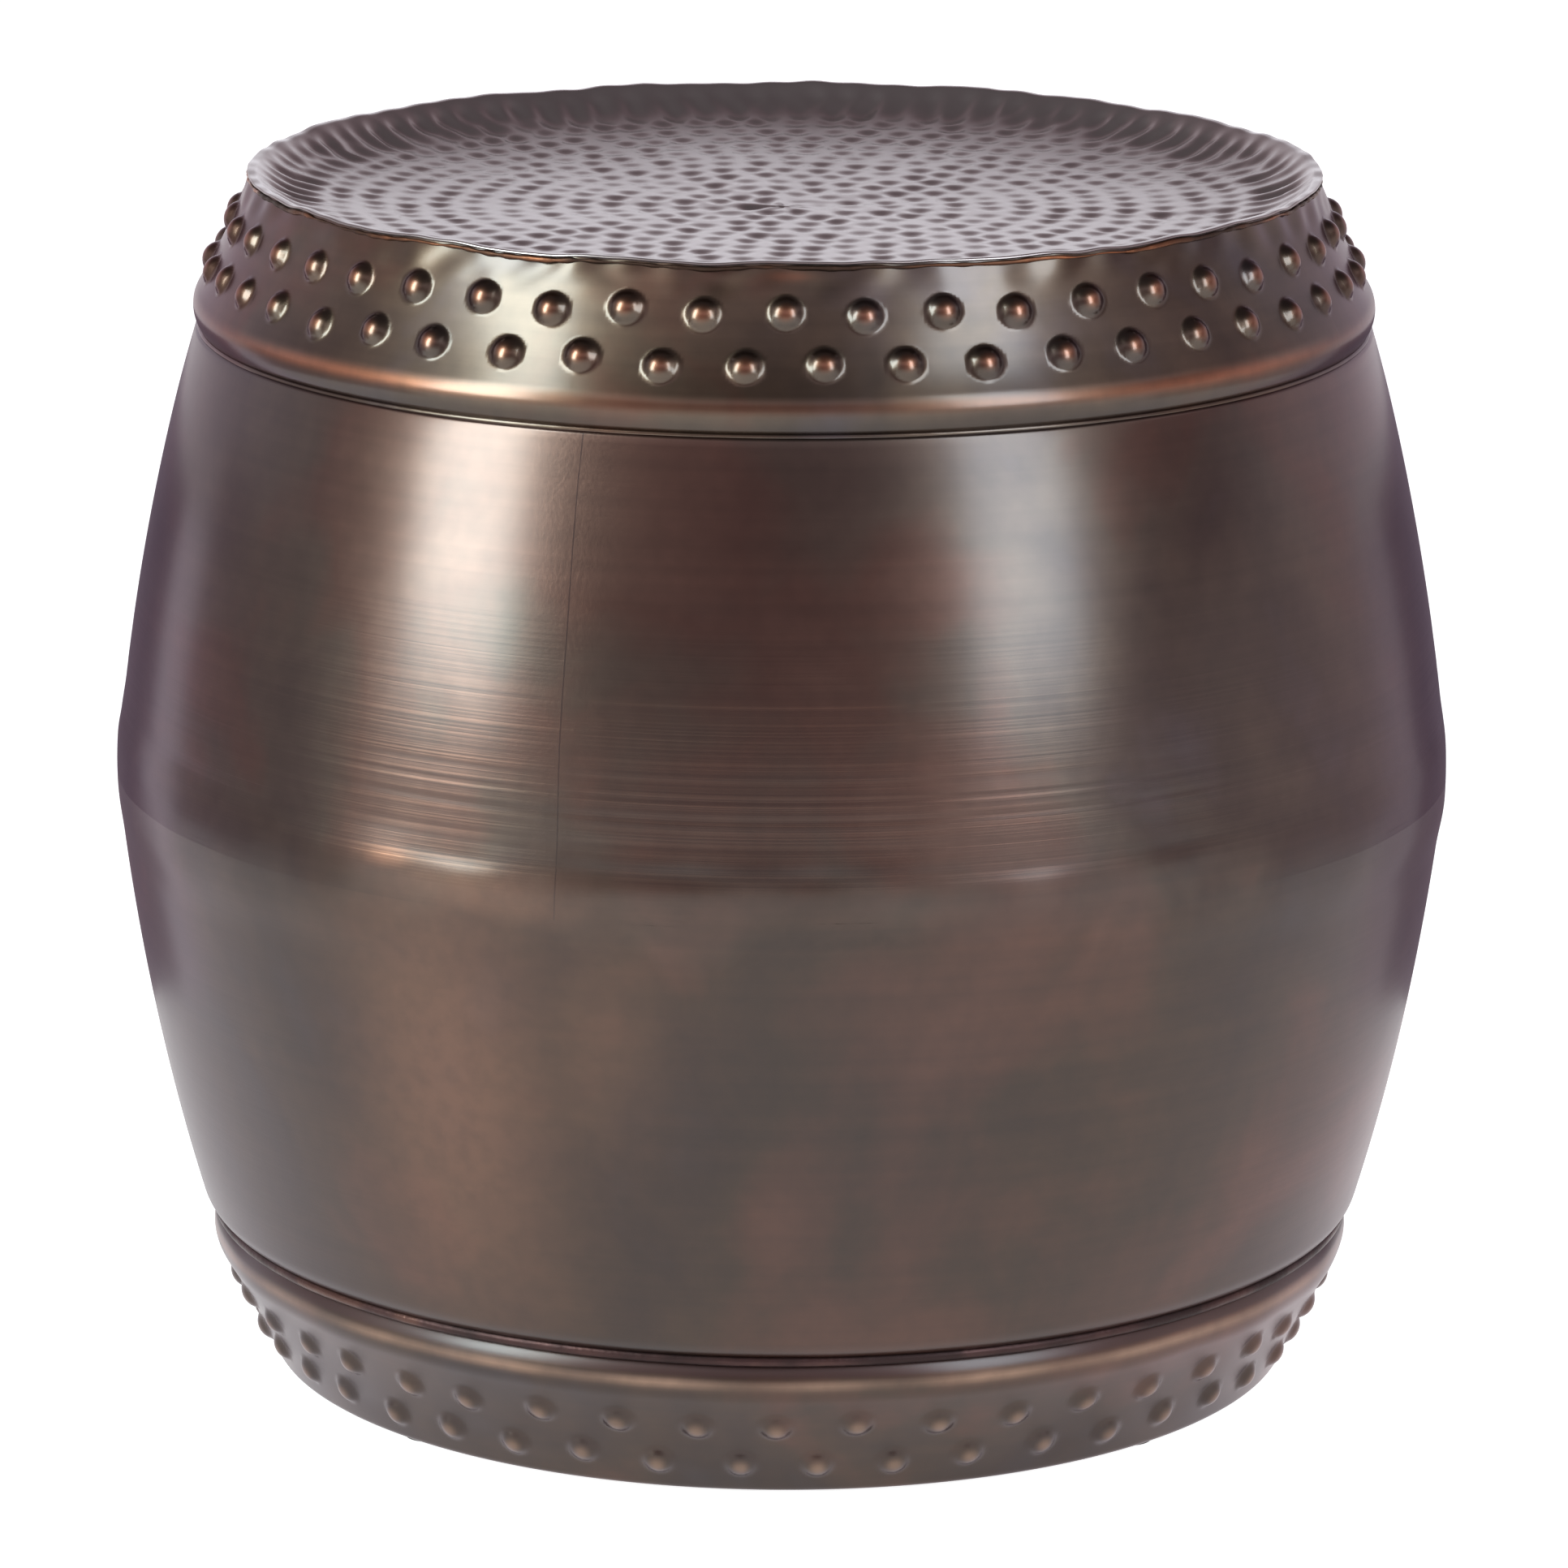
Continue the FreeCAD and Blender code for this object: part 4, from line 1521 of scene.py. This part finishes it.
@dataclass
class UpperShell(SpunSheet):
    """Upper half of the drum, with a rolled top edge and the roller's lines above the belly."""

    belly: Place = (235.3, 214.984)
    roll_start: Place = (206.127, 369.49)
    roll_top: Place = (204.4, 370.784)
    roll_end: Place = (202.6, 368.984)
    return_length: float = 6.0
    roll_curve: float = 1.8
    sweep: float = 800.0
    wall_top: Range = (368.0, 345.0)
    uneven: float = 0.16
    band_low: float = 222.0
    band_high: float = 262.0
    line_count: int = 30
    line_seed: int = 61
    line_widths: Range = (0.6, 1.2)
    line_depths: Range = (0.004, 0.018)
    line_sway: float = 0.6
    fold_rise: float = 18.0
    fold_spread: float = 4.0
    fold_depth: float = 0.14
    fold_sway: float = 1.8
    fold_change: float = 0.45
    slow: Unevenness = Unevenness(62, 1, 9, 160.0)
    sway: Unevenness = Unevenness(63, 1, 6, UPRIGHT)
    dents: Unevenness = Unevenness(64, 6, 40, 40.0)
    belt: Belly = Belly()
    patches: tuple[Patch, ...] = BELLY_PATCHES

    def runs(self) -> list[Run]:
        """Gives the wall, finer in the band of lines, the roll and its inner leg.

        Returns:
            The runs, from the belly up.
        """
        share = (self.band_high - self.belly[1]) / (self.roll_start[1] - self.belly[1])
        whole = Run(self.belly, self.roll_start, 1.0, self.sweep).points()
        middle = whole[int(share * len(whole))]
        change = (float(middle[0]), float(middle[1]))
        return [
            Run(self.belly, change, 0.75, self.sweep),
            Run(change, self.roll_start, 2.2, self.sweep),
            Run(self.roll_start, self.roll_top, 0.5, self.roll_curve),
            Run(self.roll_top, self.roll_end, 0.7, self.roll_curve),
            Run(self.roll_end, (self.roll_end[0], self.roll_end[1] - self.return_length), 3.0),
        ]

    @cached_property
    def lines(self) -> list[TurningLine]:
        """Draws the roller's lines.

        Returns:
            The lines, in no order.
        """
        draw = np.random.default_rng(self.line_seed)
        heights = draw.uniform(self.band_low, self.band_high, self.line_count)
        return [
            TurningLine(float(height), draw.uniform(*self.line_widths), draw.uniform(*self.line_depths))
            for height in heights
        ]

    def relief(self, ring: Ring) -> np.ndarray:
        """Adds slow unevenness, the roller's lines, the ground belly and the fold above it.

        Args:
            ring: The ring.

        Returns:
            Its lift along the outward normal.
        """
        wall = smooth_step(ring.height, *self.wall_top)
        lift = self.uneven * wall * self.slow.at(ring.turn, ring.height)
        for line in self.lines:
            sway = self.line_sway * self.sway.at(ring.turn, line.height)
            lift -= line.depth * hill(ring.height + sway, line.height, line.width)
        lift = self.belt.blend(ring, lift)
        above = ring.height + self.fold_sway * self.sway.at(ring.turn) - self.belt.height
        swell = 1.0 + self.fold_change * self.dents.at(ring.turn)
        lift -= self.fold_depth * hill(above, self.fold_rise, self.fold_spread) * swell
        return self.belt.held(ring, lift)


@dataclass
class LowerShell(SpunSheet):
    """Lower half of the drum, turned in softly over the foot bead."""

    turn_end: Place = (201.485, 54.684)
    turn_start: Place = (207.2, 61.86)
    belly: Place = (235.3, 213.384)
    turn_curve: float = 12.0
    sweep: float = 800.0
    wall_start: Range = (4.0, 40.0)
    uneven: float = 0.2
    slow: Unevenness = Unevenness(71, 1, 10, 130.0)
    belt: Belly = Belly()
    patches: tuple[Patch, ...] = BELLY_PATCHES + (
        # Painted shade: these two darken the middle of the lower half.
        Patch(Mark.SUNK, 8.0, 135.0, 13.0, 70.0, 0.34),
        Patch(Mark.SUNK, 26.0, 80.0, 14.0, 40.0, 0.14),
        # Painted highlight: these two lighten the lower half towards the left, as the left softbox's broad
        # sheen.
        Patch(Mark.WORN, -29.0, 150.0, 9.0, 80.0, 0.26),
        Patch(Mark.WORN, -15.0, 168.0, 6.0, 45.0, 0.1),
        # Painted shade: a ring darkening the shell's turned end over the groove.
        Patch(Mark.SUNK, 0.0, 54.0, 400.0, 4.0, 0.55),
    )

    def runs(self) -> list[Run]:
        """Gives the turn and the wall."""
        turn = Run(self.turn_end, self.turn_start, 0.9, self.turn_curve)
        return [turn, Run(self.turn_start, self.belly, 1.7, self.sweep)]

    def relief(self, ring: Ring) -> np.ndarray:
        """Adds slow unevenness and the ground belly."""
        lift = self.uneven * smooth_step(ring.along, *self.wall_start) * self.slow.at(ring.turn, ring.height)
        return self.belt.held(ring, self.belt.blend(ring, lift))


@dataclass
class SeamRun:
    """A run of filler metal laid round a seam by hand, thick and thin."""

    name: str
    slot: str
    finish: Braze | Patina
    centre: Place
    thickest: float
    thinnest: float
    seed: int
    columns: int = 720
    sides: int = 10
    stretch: float = 1.0
    slow_share: float = 0.3
    quick_share: float = 0.16
    rim: Rim | None = None

    def thickness(self, turn: np.ndarray) -> np.ndarray:
        """Gives how thick the run is.

        Args:
            turn: The turns of its points.

        Returns:
            Its half thickness at each turn.
        """
        slow = Unevenness(self.seed, 3, 30, UPRIGHT).at(turn)
        quick = Unevenness(self.seed + 1, 40, 160, UPRIGHT).at(turn)
        share = np.clip(0.5 + self.slow_share * slow + self.quick_share * quick, 0.0, 1.0)
        return self.thinnest + (self.thickest - self.thinnest) * share

    def build(self) -> bpy.types.Object:
        """Builds the run as a tube of changing thickness.

        Returns:
            The dressed piece.
        """
        turn = np.arange(self.columns) * TURN / self.columns
        thick = self.thickness(turn)
        drop = self.rim.dip(turn, 0.0) if self.rim else 0.0
        stack = RingStack()
        for side in range(self.sides):
            angle = TURN * side / self.sides
            radius = self.centre[0] + thick * math.cos(angle)
            height = self.centre[1] + self.stretch * thick * math.sin(angle) - drop
            points = np.stack([radius * np.cos(turn), radius * np.sin(turn), height], axis=1)
            stack.add(points, no_marks(self.columns))
        piece = stack.piece(self.name + "_dressed", looped=True)
        dress(piece, self.finish.material())
        seat(piece, self.slot, self.name)
        return piece


@dataclass(frozen=True)
class InnerPieces:
    """What the drum hides: the hoop, the cross brace and the felt pads."""

    steel_nodes: tuple[str, ...] = ("brace_bar_over", "brace_bar_under", "belly_hoop")
    felt_nodes: tuple[str, ...] = ("floor_pads",)

    def build(self) -> None:
        """Gives each carried-over node its finish."""
        for nodes, finish in ((self.steel_nodes, PaintedSteel()), (self.felt_nodes, Felt())):
            material = finish.material()
            for name in nodes:
                dress(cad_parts[name], material)
                log.info("%s keeps its packed shape", name)


@dataclass(frozen=True)
class Softbox:
    """A tall soft lamp that stands at a compass and distance and faces the table."""

    name: str
    compass: float
    distance: float
    low: float
    high: float
    width: float
    radiance: float
    colour: tuple[float, float, float]

    def build(self) -> None:
        """Adds the lamp."""
        lamp = bpy.data.lights.new(self.name, "AREA")
        lamp.shape = "RECTANGLE"
        lamp.size = self.width
        lamp.size_y = self.high - self.low
        lamp.energy = self.radiance * math.pi * lamp.size * lamp.size_y
        lamp.color = self.colour
        holder = added(self.name, lamp)
        angle = FRONT + math.radians(self.compass)
        where = Vector((math.cos(angle), math.sin(angle), 0.0)) * self.distance
        holder.location = where + Vector((0.0, 0.0, (self.low + self.high) / 2))
        holder.rotation_euler = (-where).to_track_quat("-Z", "Y").to_euler()


def plain_piece(name: str, points: list, faces: list, material: bpy.types.Material) -> bpy.types.Object:
    """Adds a piece of the studio.

    Args:
        name: Name of the piece.
        points: Its corners, in metres.
        faces: The numbers of each face's corners.
        material: Its material.

    Returns:
        The piece.
    """
    mesh = bpy.data.meshes.new(name)
    mesh.from_pydata(points, [], faces)
    mesh.materials.append(material)
    return added(name, mesh)


@dataclass(frozen=True)
class Screen:
    """A low curved screen of one plain tone, from one compass to another."""

    name: str
    first: float
    last: float
    distance: float
    height: float
    colour: Colour
    steps: int = 24

    def build(self) -> bpy.types.Object:
        """Builds the screen, which only mirrored rays meet.

        Returns:
            The screen.
        """
        angles = FRONT + np.radians(np.linspace(self.first, self.last, self.steps))
        points = [
            (self.distance * math.cos(angle), self.distance * math.sin(angle), z)
            for angle in angles for z in (0.0, self.height)
        ]
        faces = [(2 * at, 2 * at + 2, 2 * at + 3, 2 * at + 1) for at in range(self.steps - 1)]
        sheet = MaterialSheet(self.name)
        cloth = sheet.finish(sheet.node("ShaderNodeEmission", {"Color": self.colour}).outputs[0])
        piece = plain_piece(self.name, points, faces, cloth)
        piece.visible_camera = False
        piece.visible_diffuse = False
        piece.visible_shadow = False
        return piece


@dataclass(frozen=True)
class Studio:
    """Pale floor, two softboxes, low screens, the room and the camera, in metres.

    The room's ranges are parts of its way's X, Y or Z, each from where a tone starts to where it is full.
    """

    camera_place: tuple[float, float, float] = (0.0008, -2.722, 0.8892)
    camera_pitch: float = 75.85
    camera_roll: float = 0.3
    camera_lens: float = 181.14
    camera_reach: float = 100.0
    floor_half: float = 14.0
    floor_colour: str = "#c8c8c8"
    floor_glow: float = 0.9
    lamps: tuple[Softbox, ...] = (
        Softbox(
            "left_softbox", compass=-57.5, distance=2.0, low=0.4, high=2.2, width=0.68, radiance=14.0,
            colour=(0.89, 1.09, 1.1),
        ),
        Softbox(
            "right_softbox", compass=41.8, distance=2.1, low=0.45, high=2.2, width=0.7, radiance=8.4,
            colour=(0.84, 0.98, 1.06),
        ),
    )
    screens: tuple[Screen, ...] = (
        Screen("studio_screen_1", 68.0, 114.0, 1.0, 0.38, (0.88, 0.76, 0.77, 1.0)),
        Screen("studio_screen_2", 101.5, 114.0, 0.5, 0.3, (0.9, 0.82, 0.92, 1.0)),
        Screen("studio_screen_3", 114.0, 246.0, 0.5, 0.3, (0.26, 0.21, 0.27, 1.0)),
        Screen("studio_screen_4", 246.0, 258.5, 0.5, 0.3, (1.5, 1.42, 1.58, 1.0)),
        Screen("studio_screen_5", 246.0, 292.0, 1.0, 0.38, (0.56, 0.48, 0.5, 1.0)),
    )
    front_low: Colour = (0.5, 0.4, 0.43, 1.0)
    front_high: Colour = (0.28, 0.18, 0.21, 1.0)
    front_rise: Range = (0.02, 0.26)
    front_top: Colour = (1.1, 0.9, 0.94, 1.0)
    top_rise: Range = (0.34, 0.5)
    top_side: Range = (0.3, -0.1)
    ceiling_colour: Colour = (0.11, 0.09, 0.1, 1.0)
    ceiling_rise: Range = (0.42, 0.8)
    backdrop_colour: Colour = (1.02, 1.02, 1.1, 1.0)
    backdrop_side: Range = (-0.1, 0.4)
    backdrop_fall: Range = (0.56, 0.24)
    horizon_colour: Colour = (1.75, 1.78, 1.9, 1.0)
    horizon_fall: Range = (0.26, 0.16)
    side_colour: Colour = (0.92, 0.88, 0.95, 1.0)
    side_edge: Range = (0.3, 0.08)

    def floor(self) -> None:
        """Adds the floor, which shows white around the table's soft shadow."""
        half = self.floor_half
        points = [(-half, -half, 0.0), (half, -half, 0.0), (half, half, 0.0), (-half, half, 0.0)]
        sheet = MaterialSheet("studio_floor")
        path = sheet.node("ShaderNodeLightPath").outputs
        seen = sheet.maths("MAXIMUM", path["Is Camera Ray"], path["Is Glossy Ray"])
        seen = sheet.maths("MAXIMUM", seen, path["Is Transmission Ray"])
        diffuse = sheet.node("ShaderNodeBsdfDiffuse", {"Color": tone(self.floor_colour)})
        glow = sheet.node("ShaderNodeEmission", {"Strength": sheet.times(seen, self.floor_glow)})
        both = sheet.node("ShaderNodeAddShader", {0: diffuse.outputs[0], 1: glow.outputs[0]})
        piece = plain_piece("studio_floor", points, [(0, 1, 2, 3)], sheet.finish(both.outputs[0]))

    def room(self) -> None:
        """Lights the room: dim in front, with a bright band above, and brightest low down at the back."""
        world = bpy.data.worlds.new("studio_room")
        bpy.context.scene.world = world
        world.use_nodes = True
        sheet = NodeSheet(world.node_tree)
        way = sheet.axes(sheet.node("ShaderNodeTexCoord").outputs["Generated"])
        front = sheet.mixed(sheet.spread(way["Z"], *self.front_rise), self.front_low, self.front_high)
        above = sheet.times(sheet.spread(way["Z"], *self.top_rise), sheet.spread(way["Y"], *self.top_side))
        front = sheet.mixed(above, front, self.front_top)
        room = sheet.mixed(sheet.spread(way["Z"], *self.ceiling_rise), front, self.ceiling_colour)
        horizon = sheet.spread(way["Z"], *self.horizon_fall)
        backdrop = sheet.mixed(horizon, self.backdrop_colour, self.horizon_colour)
        inside = sheet.spread(sheet.maths("ABSOLUTE", way["X"]), *self.side_edge)
        back = sheet.mixed(inside, self.side_colour, backdrop)
        low = sheet.spread(way["Z"], *self.backdrop_fall)
        room = sheet.mixed(sheet.times(sheet.spread(way["Y"], *self.backdrop_side), low), room, back)
        light = sheet.node("ShaderNodeBackground", {"Color": room})
        sheet.node("ShaderNodeOutputWorld", {"Surface": light.outputs[0]})

    def camera(self) -> None:
        """Adds the camera and makes it the scene's."""
        lens = bpy.data.cameras.new("camera")
        lens.lens = self.camera_lens
        lens.clip_end = self.camera_reach
        holder = added("camera", lens)
        pitch = Matrix.Rotation(math.radians(self.camera_pitch), 4, "X")
        roll = Matrix.Rotation(math.radians(self.camera_roll), 4, "Z")
        holder.matrix_world = Matrix.Translation(self.camera_place) @ pitch @ roll
        bpy.context.scene.camera = holder

    def build(self) -> None:
        """Sets the whole studio."""
        bpy.context.scene.view_settings.view_transform = "Standard"
        self.floor()
        for screen in self.screens:
            screen.build()
        self.room()
        for lamp in self.lamps:
            lamp.build()
        self.camera()
        log.info("studio set")


HIGH_TONES = ("#40353a", "#3a2c26", "#44362d", "#4c342a", "#584136")
# Low tones, below the belly and on the foot: their ruddier brown is the sheet's own, and their being darker
# than the high tones is painted shade on the lower half.
LOW_TONES = ("#2f2425", "#2e1c13", "#362316", "#45291c", "#563528")
COLLAR_TONES = ("#4a4040", "#493c32", "#524336", "#583f32", "#624d3e")
TRAY_TONES = ("#4e484d", "#534c51", "#575257", "#5b4f52", "#624e4b")

UPPER_PATINA = Patina(
    "dark_copper_upper", HIGH_TONES, LOW_TONES, seam=FRONT - math.radians(18.6), roughness=0.33,
    low_roughness=0.38, lacquer=0.46,
)
LOWER_PATINA = Patina(
    "dark_copper_lower", HIGH_TONES, LOW_TONES, roughness=0.33, low_roughness=0.38, lacquer=0.46,
    edge=(0.85, 0.76, 0.8, 1.0),
)
COLLAR_PATINA = Patina(
    "dark_copper_collar", COLLAR_TONES, worn="#a0664a", cloud_scale=9.0, roughness=0.32, turning=0.0001,
    lacquer=0.34, lacquer_roughness=0.2,
)
# The foot's reddish dark sunk tone is painted shade in the groove above the bead and soot round the bosses'
# feet.
FOOT_PATINA = Patina(
    "dark_copper_foot", LOW_TONES, worn="#94745f", sunk="#3d2a28", cloud_scale=9.0, roughness=0.33,
    turning=0.00002, edge=(0.9, 0.82, 0.86, 1.0), lacquer=0.45, lacquer_roughness=0.31,
)
TRAY_PATINA = Patina(
    "tray_copper", TRAY_TONES, worn="#6e4638", streak_share=0.0, drip_share=0.0, roughness=0.15, turning=0.0,
    cloud_scale=9.0, edge=(0.95, 0.92, 1.0, 1.0), lacquer_roughness=0.13, soot_roughness=0.08,
)
# Dark tones for the foot braze, which fills the crevice between the lower shell and the foot's bead: painted
# shade of that crevice.
SOOTED_BRAZE = Braze("sooted_braze", bright="#594039", middling="#463230", dull="#352827")


def main() -> None:
    """Builds the table from the tray down, then the studio."""
    logging.basicConfig(level=logging.INFO, format="%(message)s")
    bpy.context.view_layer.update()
    for part in (
        Tray("hammered_tray", "tray_copper", TRAY_PATINA),
        SeamRun(
            "rim_braze", "braze", Braze("rim_braze"), centre=(186.9, 423.9), thickest=0.95, thinnest=0.25,
            seed=81, stretch=1.1, rim=Rim(),
        ),
        Collar("collar_band", "dark_copper", COLLAR_PATINA),
        SeamRun(
            "shoulder_braze", "braze", COLLAR_PATINA, centre=(204.1, 370.85), thickest=1.2, thinnest=1.05,
            seed=85,
        ),
        UpperShell("upper_shell", "dark_copper", UPPER_PATINA),
        BellyWeld("belly_weld", "dark_copper", UPPER_PATINA),
        LowerShell("lower_shell", "dark_copper", LOWER_PATINA),
        SeamRun(
            "foot_braze", "braze", SOOTED_BRAZE, centre=(201.8, 54.0), thickest=2.0, thinnest=1.85, seed=87,
        ),
        FootBand("foot_band", "dark_copper", FOOT_PATINA),
        InnerPieces(),
        Studio(),
    ):
        part.build()


if __name__ == "__main__":
    main()
